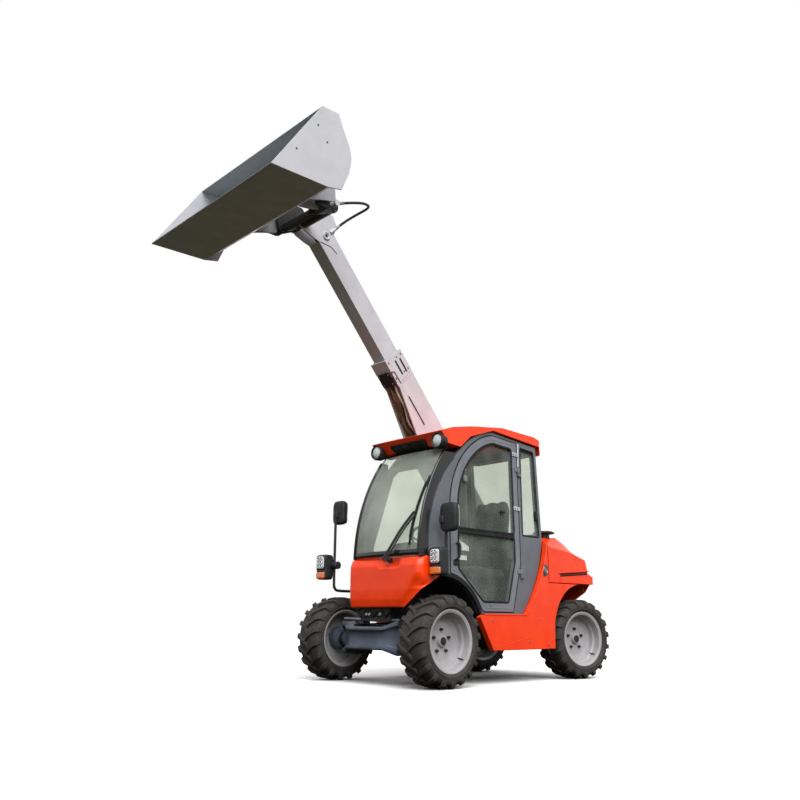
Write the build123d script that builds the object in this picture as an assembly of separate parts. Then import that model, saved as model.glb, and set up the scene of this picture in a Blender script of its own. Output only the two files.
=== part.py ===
from build123d import *
import os
from math import cos, hypot, radians, sin, tan

# Compact telehandler with a raised loader bucket. Millimetres and degrees.
# +X is the machine's left (door side), -Y its front, +Z up. Places below are measured from the
# ground under the middle of the front axle, and ORIGIN_SHIFT brings the finished pieces to the
# ground under the middle of the machine's whole length.
ORIGIN_SHIFT = -140.3

# Running gear
WHEELBASE = 1840
TRACK = 1255
TYRE_RADIUS = 350
TYRE_WIDTH = 270
RIM_FLANGE_RADIUS = 240
BEAD_RADIUS = 222
RIM_WIDTH = 250
DISC_BACK = -4              # back of the wheel disc, from the middle of the rim
STUD_CIRCLE = 175
STUD_COUNT = 5
KINGPIN_X = 450
KINGPIN_RADIUS = 16
STEER_ARM = 110
REAR_STEER_REST = -10       # turn of the rear wheels about +Z as the machine stands
STEER_LIMIT = 25            # of any wheel, to each side of straight ahead
AXLES = {"front": 0, "rear": WHEELBASE}
SIDES = {"left": 1, "right": -1}
WHEEL_X = TRACK / 2

# Boom
BOOM_X = -290
BOOM_PIVOT = (1760, 1220)
BOOM_ANGLE = 48.6
MOUTH = 2300                # from the pivot to the mouth of the outer section
INNER_START = 1650
INNER_END = 3560
INNER_SIZE = (146, 206)
OUTER_WIDTH = 190
COLLAR = 5                  # plate welded round the mouth
PLATE = 12
PIVOT_PIN_RADIUS = 25
LIFT_BASE = (750, 460)
LIFT_LUG = (420, -170)      # along and across the boom
HEAD_PIVOT = (3775, -160)
HEAD_PIN_RADIUS = 20
TILT_HINGE = (3350, 13)
TILT_ARM = 111              # from the head pivot to the tilt pin
TILT_ARM_ANGLE = 96
HUB_END = 196               # left end of the coupler's hub tube
# Travels of the boom, telescope and bucket from where they stand in the file
BOOM_RANGE = (-63, 11)
TELESCOPE_STROKE = 1100
TILT_RANGE = (-40, 78)

# Cab
CAB_LEFT = 660
CAB_RIGHT = -150
CAB_WALL = 46
ARCH_RADIUS = 500
GLASS = 6
ROOF_LAMPS_X = (-125, 620)
ROOF_LAMP_RADIUS = 50
ROOF_CORNER = 90
MIRROR_STEM = (-466, -180)
DOOR_HINGE = (670, 1003, 1400)
DOOR_OPEN = 90
HOOD_HINGE = (280, 1372, 1240)
HOOD_X = (-140, 700)
HOOD_SHOULDER = 100         # sloping band between the hood's top and each side
HOOD_OPEN = 50
DOOR_HINGES_Z = (900, 1800)
HOOD_HINGES_X = (100, 460)
HINGE_PIN_RADIUS = 7
STEERING_WHEEL_CENTRE = (250, 262, 1140)
STEERING_WHEEL_TILT = -50
STEERING_RATIO = 14         # turns of the steering wheel to a turn of the road wheels
HITCH_PIN = (20, 2140, 450)
HITCH_PIN_RADIUS = 13
HITCH_JAW_HEIGHT = 100

# Auxiliary hose, from its boss on the boom's nose to its swivel
HOSE_RADIUS = 12
HOSE_ROUTE = [(-205, -502, 3995), (-178, -428, 4080), (-105, -345, 4160), (0, -302, 4196),
              (90, -338, 4181), (165, -462, 4132), (208, -600, 4068), (230, -728, 4006), (240, -822, 3961)]

# Bucket
BUCKET_WIDTH = 1756
BUCKET_SIDE = 12
BUCKET_SKIN = 10

# Seam between curved faces of two bodies that turn against each other
FIT = 0.3


def slab(face_plane, outline, low, high):
    """A flat shape pushed from low to high along the plane's normal."""
    face = make_face(outline)
    return extrude(face_plane.offset(low) * face, high - low)


def slab_x(outline, low, high):
    return slab(Plane.YZ, outline, low, high)


def slab_y(outline, low, high):
    """The outline is drawn in (x, z)."""
    plane = Plane(origin=(0, low, 0), x_dir=(1, 0, 0), z_dir=(0, -1, 0))
    return extrude(plane * make_face(outline), -(high - low))


def slab_z(outline, low, high):
    return slab(Plane.XY, outline, low, high)


def ring(points):
    return Polyline(*points, close=True)


def joined(*parts):
    """One outline from arcs and runs of straight lines."""
    return Wire([edge for part in parts for edge in part.edges()])


def rounded(points, radius):
    return FilletPolyline(*points, radius=radius, close=True)


def block(x, y, z):
    """A box between pairs of limits."""
    size = [pair[1] - pair[0] for pair in (x, y, z)]
    middle = [(pair[1] + pair[0]) / 2 for pair in (x, y, z)]
    return Pos(*middle) * Box(*size)


def rod(start, end, radius):
    """A round bar between two points."""
    start, end = Vector(*start), Vector(*end)
    way = end - start
    plane = Plane(origin=start, z_dir=way.normalized())
    return extrude(plane * Circle(radius), way.length)


def pipe(points, radius, bend):
    path = FilletPolyline(*points, radius=bend)
    section = Plane(origin=path @ 0, z_dir=path % 0) * Circle(radius)
    return sweep(section, path=path)


def turned(profile):
    """A ring about the X axis from (x, radius) points."""
    face = make_face(Plane.XY * profile)
    return revolve(face, axis=Axis.X)


# ---- Boom coordinates: s runs along the boom from its pivot, t stands square on it ----

def boom_point(s, t):
    angle = radians(BOOM_ANGLE)
    y = BOOM_PIVOT[0] - s * cos(angle) + t * sin(angle)
    z = BOOM_PIVOT[1] + s * sin(angle) + t * cos(angle)
    return y, z


def boom_slab(outline, low, high):
    """A shape drawn in (s, t), between two distances left of the boom's middle."""
    angle = radians(BOOM_ANGLE)
    y, z = BOOM_PIVOT
    plane = Plane(origin=(BOOM_X + high, y, z), x_dir=(0, -cos(angle), sin(angle)), z_dir=(-1, 0, 0))
    return extrude(plane * make_face(outline), high - low)


def boom_box(s, t, across):
    return boom_slab(ring([(s[0], t[0]), (s[1], t[0]), (s[1], t[1]), (s[0], t[1])]), *across)


def boom_bar(s, t, radius, low, high):
    """A round bar square to the boom's side."""
    y, z = boom_point(s, t)
    return rod((BOOM_X + low, y, z), (BOOM_X + high, y, z), radius)


# ---- Running gear ----

def tyre():
    half = TYRE_WIDTH / 2
    bead = half - 20
    crown = half - 31
    section = [
        Line((-bead, BEAD_RADIUS + FIT), (-bead, BEAD_RADIUS + 22)),
        ThreePointArc((-bead, BEAD_RADIUS + 22), (-half, 288), (-half + 13, 334)),
        Line((-half + 13, 334), (-crown, 347)),
        ThreePointArc((-crown, 347), (0, TYRE_RADIUS), (crown, 347)),
        Line((crown, 347), (half - 13, 334)),
        ThreePointArc((half - 13, 334), (half, 288), (bead, BEAD_RADIUS + 22)),
        Line((bead, BEAD_RADIUS + 22), (bead, BEAD_RADIUS + FIT)),
        Line((bead, BEAD_RADIUS + FIT), (-bead, BEAD_RADIUS + FIT)),
    ]
    return turned(Wire(section))


def rim():
    half = RIM_WIDTH / 2
    section = [
        (-half, RIM_FLANGE_RADIUS), (-half + 7, RIM_FLANGE_RADIUS), (-half + 9, BEAD_RADIUS),
        (half - 9, BEAD_RADIUS), (half - 7, RIM_FLANGE_RADIUS), (half, RIM_FLANGE_RADIUS),
        (half, 232), (half - 7, 214), (60, 212), (52, 196), (16, 192), (8, 150),
        (8, 45), (34, 40), (38, 0), (DISC_BACK, 0), (DISC_BACK, 158), (4, 214),
        (-half + 11, 214), (-half, 230),
    ]
    body = turned(ring(section))
    for index in range(STUD_COUNT):
        hole = Pos(0, 0, STUD_CIRCLE / 2) * Rot(0, 90, 0) * Cylinder(12, 60)
        body -= Rot(360 / STUD_COUNT * index, 0, 0) * hole
    return body


def knuckle():
    """Wheel carrier of a left wheel, from its kingpin axis at the height of the hub."""
    hub_face = WHEEL_X - KINGPIN_X + DISC_BACK - 0.5
    kingpin = Cylinder(38, 144) + Cylinder(KINGPIN_RADIUS, 208)
    spindle = Pos(hub_face / 2, 0, 0) * Rot(0, 90, 0) * Cylinder(50, hub_face)
    drum = Pos(hub_face - 34, 0, 0) * Rot(0, 90, 0) * Cylinder(95, 68)
    arm = slab_z(SlotOverall(STEER_ARM + 44, 44).wire(), 104, 122)
    arm = Pos(0, STEER_ARM / 2, 0) * Rot(0, 0, 90) * arm
    return kingpin + spindle + drum + arm


def axle():
    flange, web, half = 22, 90, 360
    beam = block((-half, half), (-web / 2, web / 2), (-65, 65))
    for z in (65, -65 - flange):
        beam += block((-half, half), (-70, 70), (z, z + flange))
    for side in SIDES.values():
        beam += block((side * 380 - 26, side * 380 + 26), (-45, 45), (-102, 102))
        for z in (74, -102):
            ear = slab_z(SlotOverall(180, 90).wire(), z, z + 28)
            ear = Pos(side * (KINGPIN_X - 45), 0, 0) * ear
            beam += ear - Pos(side * KINGPIN_X, 0, z + 14) * Cylinder(KINGPIN_RADIUS + FIT, 40)
    beam += Pos(0, STEER_ARM, 80) * Rot(0, 90, 0) * (Cylinder(28, 300) - Cylinder(12 + FIT, 320))
    beam += block((-140, -100), (40, 90), (65, 100)) + block((100, 140), (40, 90), (65, 100))
    beam -= Pos(0, STEER_ARM, 80) * Rot(0, 90, 0) * Cylinder(12 + FIT, 320)
    return beam


def steering_rod():
    bar = Rot(0, 90, 0) * Cylinder(12, 2 * KINGPIN_X - 30)
    for side in SIDES.values():
        bar += Pos(side * KINGPIN_X, 0, 0) * Cylinder(20, 34)
    return bar


# ---- Chassis ----

def chassis_frame():
    right_plate = ring([
        (450, 280), (1380, 280), (1380, 600), (1490, 760), (2020, 760), (2020, 900),
        (1850, 1290), (1670, 1290), (1450, 960), (900, 560), (620, 530), (590, 740), (530, 740),
        (500, 510), (450, 500),
    ])
    inner_plate = ring([
        (-200, 470), (-200, 330), (-100, 260), (1950, 260), (2060, 400), (2060, 900),
        (1850, 1290), (1670, 1290), (1450, 960), (900, 560), (450, 500),
    ])
    left_plate = ring([(-200, 470), (-200, 330), (-100, 260), (1950, 260), (2060, 400), (2060, 500)])
    frame = slab_x(right_plate, -412, -400) + slab_x(inner_plate, -167, -153)
    frame += slab_x(left_plate, 200, 214)
    for y in (470, 1330):
        frame += block((-405, 210), (y, y + 40), (285, 345))
    for low, high in ((-200, -150), (1940, 1990)):
        frame += block((-160, 205), (low, high), (350, 450))
    frame += block((-405, 600), (480, 1370), (262, 274))
    y, z = BOOM_PIVOT
    frame += rod((-420, y, z), (-145, y, z), PIVOT_PIN_RADIUS)
    frame += rod((-410, *LIFT_BASE), (-155, *LIFT_BASE), 18)
    for axle_y in AXLES.values():
        frame += block((-153, 200), (axle_y - 60, axle_y + 30), (437.5, 470))
        frame -= block((-360, 360), (axle_y - 71, axle_y + 71), (260, 437.2))
        frame -= block((-180, 220), (axle_y + 75, axle_y + 145), (395, 465))
    return frame


def engine_block():
    return block((-120, 320), (1460, 1930), (520, 1000))


# ---- Cab ----

def cab_outline():
    """Side view of the cab shell, clear of the front wheel."""
    return Wire([
        ThreePointArc((20, 849.6), (340, 716.6), (453.8, 560)),
        Line((453.8, 560), (1010, 560)),
        ThreePointArc((1010, 560), (1150, 740), (1330, 1210)),
        Line((1330, 1210), (1280, 2065)),
        Line((1280, 2065), (650, 2110)),
        ThreePointArc((650, 2110), (370, 2010), (150, 1800)),
        ThreePointArc((150, 1800), (-105, 1400), (-150, 1000)),
        Line((-150, 1000), (20, 849.6)),
    ])


def door_outline():
    return Wire([
        ThreePointArc((100, 875.6), (344, 760), (470, 605)),
        Line((470, 605), (495, 580)),
        Line((495, 580), (880, 580)),
        Line((880, 580), (1000, 1000)),
        Line((1000, 1000), (985, 2060)),
        Line((985, 2060), (650, 2080)),
        ThreePointArc((650, 2080), (290, 1880), (100, 1400)),
        Line((100, 1400), (100, 875.6)),
    ])


def door_windows():
    upper = Wire([
        Line((190, 1240), (925, 1240)),
        Line((925, 1240), (915, 2000)),
        Line((915, 2000), (660, 2015)),
        ThreePointArc((660, 2015), (360, 1840), (190, 1400)),
        Line((190, 1400), (190, 1240)),
    ])
    lower = rounded([(190, 1205), (190, 910), (490, 655), (820, 655), (925, 1010), (925, 1205)], 25)
    return upper, lower


def grown(wire, amount):
    return offset(make_face(wire), amount).faces()[0].outer_wire()


def cab_frame():
    outline = cab_outline()
    left = slab_x(outline, CAB_LEFT - CAB_WALL, CAB_LEFT)
    left -= slab_x(grown(door_outline(), 8), CAB_LEFT - 60, CAB_LEFT + 10)
    quarter = rounded([(1045, 1235), (1290, 1235), (1245, 2020), (1045, 2035)], 20)
    left -= slab_x(quarter, CAB_LEFT - 60, CAB_LEFT + 10)
    right = slab_x(outline, CAB_RIGHT, CAB_RIGHT + CAB_WALL)
    window = rounded([(-60, 1060), (1260, 1060), (1230, 2010), (640, 2040), (420, 1960), (180, 1740)], 30)
    right -= slab_x(window, CAB_RIGHT - 10, CAB_RIGHT + 60)
    inner = (CAB_RIGHT + CAB_WALL - 1, CAB_LEFT - CAB_WALL + 1)
    shell = left + right
    shell += block(inner, (1010, 1290), (560, 600)) - block((-400, 800), (1000, 1400), (590, 700))
    header = ring([(150, 1800), (210, 1790), (420, 1975), (640, 2060), (650, 2110), (370, 2010)])
    shell += slab_x(header, *inner)
    rear_top = ring([(1230, 2000), (1284, 2000), (1280, 2065), (1230, 2068)])
    shell += slab_x(rear_top, *inner)
    rear_wall = ring([(1290, 1110), (1330, 1210), (1326, 1270), (1280, 1270), (1230, 1060), (1265, 1035)])
    shell += slab_x(rear_wall, *inner)
    y, z = HOOD_HINGE[1:]
    for x in HOOD_HINGES_X:
        shell += rod((x - 45, y, z), (x + 45, y, z), HINGE_PIN_RADIUS)
        for near in (x - 45, x + 35):
            shell += block((near, near + 10), (1315, y + 13), (z - 13, z + 13))
    x, y = DOOR_HINGE[:2]
    for z in DOOR_HINGES_Z:
        shell -= Pos(x, y, z + 20) * Cylinder(14, 44) + block((CAB_LEFT - 6, x), (y - 10, y), (z - 2, z + 42))
        shell += Pos(x, y, z + 5) * Cylinder(HINGE_PIN_RADIUS, 90)
        shell += Pos(x, y, z - 20) * Cylinder(13, 38)
        shell += block((CAB_LEFT - 8, x), (y + 4, y + 40), (z - 39, z - 1))
    return shell


def cab_floor():
    """Sheet floor: a foot well between the front wheels, an arch over the left one, a seat base."""
    right, left = CAB_RIGHT + CAB_WALL + 1, CAB_LEFT - CAB_WALL - 1
    rear = [(1008, 562), (1008, 600), (1222, 1030), (1204, 1040), (994, 610), (994, 580)]
    well = ring([
        (-180, 500), (484, 500), (484, 562), *rear, (468, 580), (468, 514), (-166, 514), (-166, 975), (-180, 975),
    ])
    arch = joined(
        ThreePointArc((20, 850.6), (340.6, 717.4), (454.6, 562)),
        Polyline((454.6, 562), *rear, (470, 580)),
        ThreePointArc((470, 580), (352, 729), (20, 868)),
        Polyline((20, 868), (-168, 868), (-168, 850.6), (20, 850.6)),
    )
    well_side = joined(
        Polyline((20, 860), (-173, 860), (-173, 507), (476, 507), (476, 572), (462, 572)),
        ThreePointArc((462, 572), (346, 723), (20, 860)),
    )
    floor = slab_x(well, right, 255) + slab_x(arch, 249, left) + slab_x(well_side, 243, 255)
    seat_base = block((25, 480), (740, 980), (571, 780)) - block((37, 468), (752, 1000), (590, 768))
    return floor + seat_base


def cab_roof():
    profile = ring([
        (60, 1925), (-20, 2020), (120, 2070), (360, 2117), (780, 2172), (1240, 2160), (1385, 2125),
        (1385, 2010), (1345, 2010), (1325, 2078), (650, 2126), (350, 2026), (215, 1915),
    ])
    roof = slab_x(profile, CAB_RIGHT - 25, CAB_LEFT + 20)
    roof &= slab_z(rounded([(CAB_RIGHT - 25, -900), (CAB_LEFT + 20, -900), (CAB_LEFT + 20, 1385),
                            (CAB_RIGHT - 25, 1385)], ROOF_CORNER), 1800, 2300)
    roof -= block((30, 460), (-100, 330), (2040, 2200))
    for x in ROOF_LAMPS_X:
        roof -= rod((x, -60, 1945), (x, 52, 1945), ROOF_LAMP_RADIUS + 2)
    roof -= slab_x(ring([(-100, 1850), (190, 1850), (300, 1985), (-100, 1985)]), 30, 460)
    return roof


def windscreen():
    front, back = (-236, 1000), (45, 1835)
    outer = [
        ThreePointArc(front, (-165, 1417), back),
        Line(back, (40, 1840)),
        ThreePointArc((40, 1840), (-171, 1419), (-242, 1000)),
        Line((-242, 1000), front),
    ]
    return slab_x(Wire(outer), CAB_RIGHT + 20, CAB_LEFT - 30)


def cab_glass():
    right = slab_x(rounded([(-50, 1070), (1250, 1070), (1222, 2002), (640, 2030), (425, 1950), (190, 1740)], 28),
                   CAB_RIGHT + 20, CAB_RIGHT + 20 + GLASS)
    quarter = slab_x(rounded([(1050, 1240), (1285, 1240), (1240, 2015), (1050, 2030)], 18),
                     CAB_LEFT - 26, CAB_LEFT - 20)
    rear = slab_x(ring([(1300, 1275), (1306, 1275), (1266, 1995), (1260, 1995)]),
                  CAB_RIGHT + CAB_WALL + 4, CAB_LEFT - CAB_WALL - 4)
    return Compound([right, quarter, rear])


def door():
    frame = slab_x(door_outline(), CAB_LEFT - 36, CAB_LEFT + 2)
    for window in door_windows():
        frame -= slab_x(window, CAB_LEFT - 50, CAB_LEFT + 20)
    x, y = DOOR_HINGE[:2]
    for z in DOOR_HINGES_Z:
        frame += block((CAB_LEFT + 1, x), (y - 50, y - 4), (z + 1, z + 39)) + Pos(x, y, z + 20) * Cylinder(13, 38)
        frame -= Pos(x, y, z + 20) * Cylinder(HINGE_PIN_RADIUS + FIT, 60)
    return frame


def door_glass():
    panes = []
    for window in door_windows():
        panes.append(slab_x(grown(window, -0.5), CAB_LEFT - 20, CAB_LEFT - 20 + GLASS))
    return Compound(panes)


# ---- Body panels ----

def front_panel():
    side = ring([
        (-250, 1000), (-262, 800), (-250, 600), (-190, 600), (-190, 992), (-190, 1000),
    ])
    nose = slab_x(side, -165, 620)
    cheek = slab_x(ring([(-250, 1000), (-262, 862), (-8, 862), (-160, 997)]), 616, 664)
    arch = Pos(0, 0, 350) * Rot(0, 90, 0) * Cylinder(ARCH_RADIUS, 800)
    nose -= Pos(800, 0, 0) * arch
    nose -= slab_y(ring([(330, 500), (700, 500), (700, 820), (560, 760), (420, 640)]), -300, -150)
    return nose + (cheek - arch)


def left_skirt():
    side = Wire([
        Line((560, 270), (1400, 270)),
        Line((1400, 270), (1410, 480)),
        ThreePointArc((1410, 480), (1560, 735), (1840, 835)),
        Line((1840, 835), (1345, 835)),
        Line((1345, 835), (1345, 1190)),
        ThreePointArc((1345, 1190), (1160, 738), (1012, 552)),
        Line((1012, 552), (455, 552)),
        Line((455, 552), (400, 530)),
        Line((400, 530), (560, 270)),
    ])
    flare = Wire([
        Line((1275, 272), (1399, 272)),
        Line((1399, 272), (1409, 480)),
        ThreePointArc((1409, 480), (1559, 735), (1838, 834)),
        Line((1838, 834), (1600, 834)),
        ThreePointArc((1600, 834), (1420, 650), (1330, 480)),
        Line((1330, 480), (1275, 272)),
    ])
    return slab_x(side, 655, 705) + slab_x(flare, 700, 712)


def engine_hood():
    """Hollow cover with sloping shoulders, a louvred side, a raised rail and a tail plate."""
    right, left = HOOD_X
    tail = [(1365, 842), (2051, 842), (2051, 915), (1993, 944)]
    side = tail + [(1951, 1066), (1710, 1122), (1442, 1150), (1365, 1170)]
    top = tail + [(1930, 1090), (1760, 1205), (1620, 1262), (1365, 1240)]
    hood = slab_x(ring(top), right + HOOD_SHOULDER, left - HOOD_SHOULDER)
    for face_x, way in ((right, 1), (left, -1)):
        sections = [Plane.YZ.offset(face_x) * make_face(ring(side)),
                    Plane.YZ.offset(face_x + way * HOOD_SHOULDER) * make_face(ring(top))]
        hood += loft(sections, ruled=True)
    hood -= slab_x(grown(ring(side), -14), right + 14, left - 14)
    hood -= slab_x(grown(ring(top), -14), right + HOOD_SHOULDER, left - HOOD_SHOULDER)
    hood -= block((right + 14, left - 14), (1360, 2020), (830, 870))
    hood -= block((right + 14, left - 14), (1355, 1400), (850, 1140))
    recess = ring([(1531, 890), (2008, 927), (1995, 964), (1511, 930)])
    hood -= slab_x(recess, left - 6, left + 10)
    for rise in (10, 24):
        louvre = ring([(1545, 891 + rise), (1985, 925 + rise), (1985, 931 + rise), (1545, 897 + rise)])
        hood -= slab_x(louvre, left - 20, left + 10)
    hood += slab_x(ring([(1520, 843), (2051, 843), (2051, 915), (1531, 888)]), left - 4, left + 10)
    tail_plate = ring([(right + 20, 850), (660, 850), (605, 775), (500, 712), (400, 645), (-40, 645)])
    hood += slab_y(tail_plate, 2066, 2078) + block((right + 20, 660), (2040, 2078), (843, 860))
    y, z = HOOD_HINGE[1:]
    for x in HOOD_HINGES_X:
        hood += rod((x - 30, y, z), (x + 30, y, z), 14)
        hood -= rod((x - 60, y, z), (x + 60, y, z), HINGE_PIN_RADIUS + FIT)
        for near in (x - 48, x + 32):
            hood -= block((near, near + 16), (1350, y + 20), (z - 40, z + 40))
    return hood


def hydraulic_tank():
    side = Wire([
        Line((560, 270), (1385, 270)),
        Line((1385, 270), (1395, 480)),
        ThreePointArc((1395, 480), (1560, 735), (1840, 835)),
        Line((1840, 835), (2060, 835)),
        Line((2060, 835), (2020, 960)),
        Line((2020, 960), (1500, 980)),
        Line((1500, 980), (1250, 760)),
        Line((1250, 760), (520, 700)),
        Line((520, 700), (560, 270)),
    ])
    return slab_x(side, -700, -424)


def tow_hitch():
    plate = block((-90, 130), (2061, 2080), (300, 560))
    jaw = block((-40, 80), (2080, 2180), (400, 420)) + block((-40, 80), (2080, 2180), (480, 500))
    jaw -= Pos(*HITCH_PIN) * Cylinder(HITCH_PIN_RADIUS, 2 * HITCH_JAW_HEIGHT)
    return plate + jaw


# ---- Cab inside and fittings ----

def seat():
    cushion = slab_y(rounded([(20, 860), (480, 860), (480, 960), (20, 960)], 30), 600, 1060)
    back = slab_x(rounded([(990, 960), (1090, 960), (1180, 1560), (1110, 1570), (1060, 1500)], 25), 40, 460)
    plinth = block((100, 400), (700, 1000), (780, 861))
    return cushion + back + plinth


def dashboard():
    console = slab_x(ring([(-160, 870), (-30, 870), (60, 980), (40, 1060), (-120, 1060)]), -98, 598)
    column = rod((250, -20, 900), (250, 250, 1130), 30)
    pod = block((-100, 15), (500, 815), (600, 960))
    return Compound([(console + column), pod])


def steering_wheel():
    centre = Pos(*STEERING_WHEEL_CENTRE) * Rot(STEERING_WHEEL_TILT, 0, 0)
    wheel = Torus(165, 14) + Cylinder(28, 16)
    for index in range(3):
        wheel += Rot(0, 0, 120 * index + 90) * (Pos(90, 0, 0) * Box(150, 22, 8))
    return centre * wheel


def wiper():
    arm = rod((300, -285, 985), (435, -252, 1300), 8)
    blade = rod((385, -272, 1160), (560, -200, 1620), 7)
    return arm + blade + rod((300, -285, 985), (300, -258, 985), 14)


def mirrors():
    x, y = MIRROR_STEM
    right = pipe([(-424.5, 560, 724), (x, 400, 748), (x, y, 748), (x, y, 1400)], 12, 60)
    right += slab_y(rounded([(x - 64, 1320), (x + 64, 1320), (x + 64, 1530), (x - 64, 1530)], 40), y + 30, y + 75)
    right += rod((x, y, 1385), (x, y + 40, 1410), 16)
    left = pipe([(662, -30, 1120), (720, -30, 1120), (720, -30, 1330)], 12, 25)
    left += slab_y(rounded([(690, 1210), (860, 1210), (860, 1430), (690, 1430)], 40), -60, -15)
    return Compound([right, left])


def lamps():
    pieces = []
    stem_x, stem_y = MIRROR_STEM
    for x, y in ((stem_x - 64, stem_y - 40), (770, -50)):
        face = rounded([(x - 65, 839), (x + 65, 839), (x + 65, 1057), (x - 65, 1057)], 18)
        pieces.append(slab_y(face, y - 50, y + 50))
    pieces[0] += rod((stem_x - 40, stem_y, 962), (stem_x + 62, stem_y, 962), 32)
    pieces[0] -= rod((stem_x, stem_y, 800), (stem_x, stem_y, 1100), 12)
    pieces[1] += block((662, 720), (-90, -30), (950, 980))
    for x in ROOF_LAMPS_X:
        pieces.append(rod((x, -14, 1945), (x, 50, 1945), ROOF_LAMP_RADIUS))
    return Compound(pieces)


# ---- Boom and tool ----

def boom_outer():
    half = OUTER_WIDTH / 2
    outline = joined(
        Polyline((0, -95), (330, -255), (800, -290), (1400, -262), (2000, -124), (2060, -135), (MOUTH, -135),
                 (MOUTH, 128), (250, 120), (0, 95)),
        ThreePointArc((0, 95), (-95, 0), (0, -95)),
    )
    boom = boom_slab(outline, -half, half)
    collar = ring([(MOUTH, -135), (2180, -135), (2155, -90), (2035, -86), (2068, 128), (MOUTH, 128)])
    boom += boom_slab(collar, -half - COLLAR, half + COLLAR)
    boom -= boom_box((380, MOUTH + 50), (-108, 108), (-half + PLATE, half - PLATE))
    boom -= boom_box((300, 2130), (-400, 90), (-half + PLATE, half - PLATE))
    for s, t in (((2082, 2240), -10), ((2078, 2228), 58), ((1551, 1875), -75)):
        boom -= boom_box(s, (t - 6, t + 6), (-half - 20, half + 20))
    boom -= boom_bar(0, 0, PIVOT_PIN_RADIUS + FIT, -200, 200)
    s, t = LIFT_LUG
    for side in SIDES.values():
        near, far = sorted((side * 48, side * (half - 2)))
        boom += boom_bar(s, t, 40, near, far)
    return boom


def boom_inner():
    half = INNER_SIZE[0] / 2
    deep = INNER_SIZE[1] / 2
    tube = boom_box((INNER_START, INNER_END), (-deep, deep), (-half, half))
    tube -= boom_box((INNER_START - 10, INNER_END + 10), (-deep + 10, deep - 10), (-half + 10, half - 10))
    neck = ring([
        (3430, -deep + 3), (3430, deep), (3540, deep + 3), (3585, 190), (3692, 215), (3732, 180), (3832, -150),
        (3800, -210), (3700, -190), (3609, -138), (INNER_END, -deep),
    ])
    for side in SIDES.values():
        near, far = sorted((side * (half - 14), side * half))
        tube += boom_slab(neck, near, far)
        near, far = sorted((side * (half - 14), side * (half + 8)))
        tube += boom_bar(*HEAD_PIVOT, 58, near, far) + boom_bar(3566, 10, 40, near, far)
    tube -= boom_bar(*HEAD_PIVOT, HEAD_PIN_RADIUS + FIT, -200, 200)
    tube -= boom_bar(3566, 10, 18, -200, 200)
    tube += boom_bar(*TILT_HINGE, 14, -half + 2, half - 2)
    start, second, before_last, end = [Vector(*HOSE_ROUTE[index]) for index in (0, 1, -2, -1)]
    tube += rod(start - (second - start).normalized() * 60, start, 17)
    y, z = head_pin()
    swivel = rod((HUB_END + 5, y, z), (HUB_END + 70, y, z), 28)
    swivel += rod(end, end + (end - before_last).normalized() * 30, 16)
    return Compound([tube, swivel])


def head_pin():
    y, z = boom_point(*HEAD_PIVOT)
    return y, z


def tilt_pin():
    y, z = head_pin()
    angle = radians(TILT_ARM_ANGLE)
    return y + TILT_ARM * cos(angle), z + TILT_ARM * sin(angle)


def carriage():
    """Quick coupler: two lugs on the head pin carry a cross frame for the bucket's ears."""
    y, z = head_pin()
    top, foot = (-1120, 4050), (-1062, 3822)
    lug = make_hull([CenterArc((y, z), 50, 0, 360), CenterArc(tilt_pin(), 36, 0, 360),
                     CenterArc(top, 42, 0, 360), CenterArc(foot, 34, 0, 360)])
    frame = rod((-360, *top), (360, *top), 28)
    frame += block((-360, 360), (foot[0] - 4, foot[0] + 44), (foot[1] - 24, foot[1] + 24))
    end = ring([(-1150, 3790), (-1040, 3790), (-1010, 3830), (-1075, 3990), (-1075, 4085), (-1150, 4085)])
    for x in (-360, 340):
        frame += slab_x(end, x, x + 20)
    side_lug = make_hull([CenterArc((y, z), 66, 0, 360), CenterArc(top, 40, 0, 360), CenterArc(foot, 34, 0, 360)])
    frame += extrude(Plane.YZ.offset(HUB_END - 16) * side_lug, 16)
    frame += rod((BOOM_X + 86, y, z), (HUB_END, y, z), 60)
    for side in SIDES.values():
        near, far = sorted((BOOM_X + side * 31, BOOM_X + side * 47))
        frame += extrude(Plane.YZ.offset(near) * lug, far - near)
    return frame + rod((BOOM_X - 84, y, z), (BOOM_X + 84, y, z), HEAD_PIN_RADIUS)


def bucket():
    """Open loader bucket: a bent skin between side plates that stand out behind its heel."""
    half = BUCKET_WIDTH / 2
    back = [(-1240, 4010), (-1310, 4150), (-1360, 4262), (-1520, 4255)]
    side = [(-1950, 3580), (-1440, 3600), (-1310, 3630), (-1245, 3790), (-1222, 3920)] + back
    skin = [(-1950, 3580), (-1440, 3600), (-1330, 3690), (-1262, 3820), (-1240, 3930)] + back
    shell = slab_x(ring(skin), -half + 1, half - 1)
    inside = grown(ring(skin + [(-2300, 4300)]), -BUCKET_SKIN)
    shell -= slab_x(inside, -half - 10, half + 10)
    outer_ear = ring([(-1262, 3760), (-1128, 3808), (-989, 3846), (-1000, 3954), (-1069, 3958), (-1244, 3985)])
    inner_ear = ring([(-1275, 3735), (-1189, 3750), (-1085, 3782), (-1067, 3873), (-1112, 3912), (-1250, 3960)])
    for sign in SIDES.values():
        near, far = sorted((sign * (half - BUCKET_SIDE), sign * half))
        shell += slab_x(ring(side), near, far)
        near, far = sorted((sign * 392, sign * 408))
        shell += slab_x(outer_ear, near, far)
        near, far = sorted((sign * 288, sign * 304))
        shell += slab_x(inner_ear, near, far)
    return shell


def cylinder_frame(base, eye):
    """A plane at the base, with its Z along the cylinder and its X across the machine."""
    way = Vector(0, eye[0] - base[0], eye[1] - base[1]).normalized()
    return Plane(origin=(BOOM_X, *base), x_dir=(1, 0, 0), z_dir=way)


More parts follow.
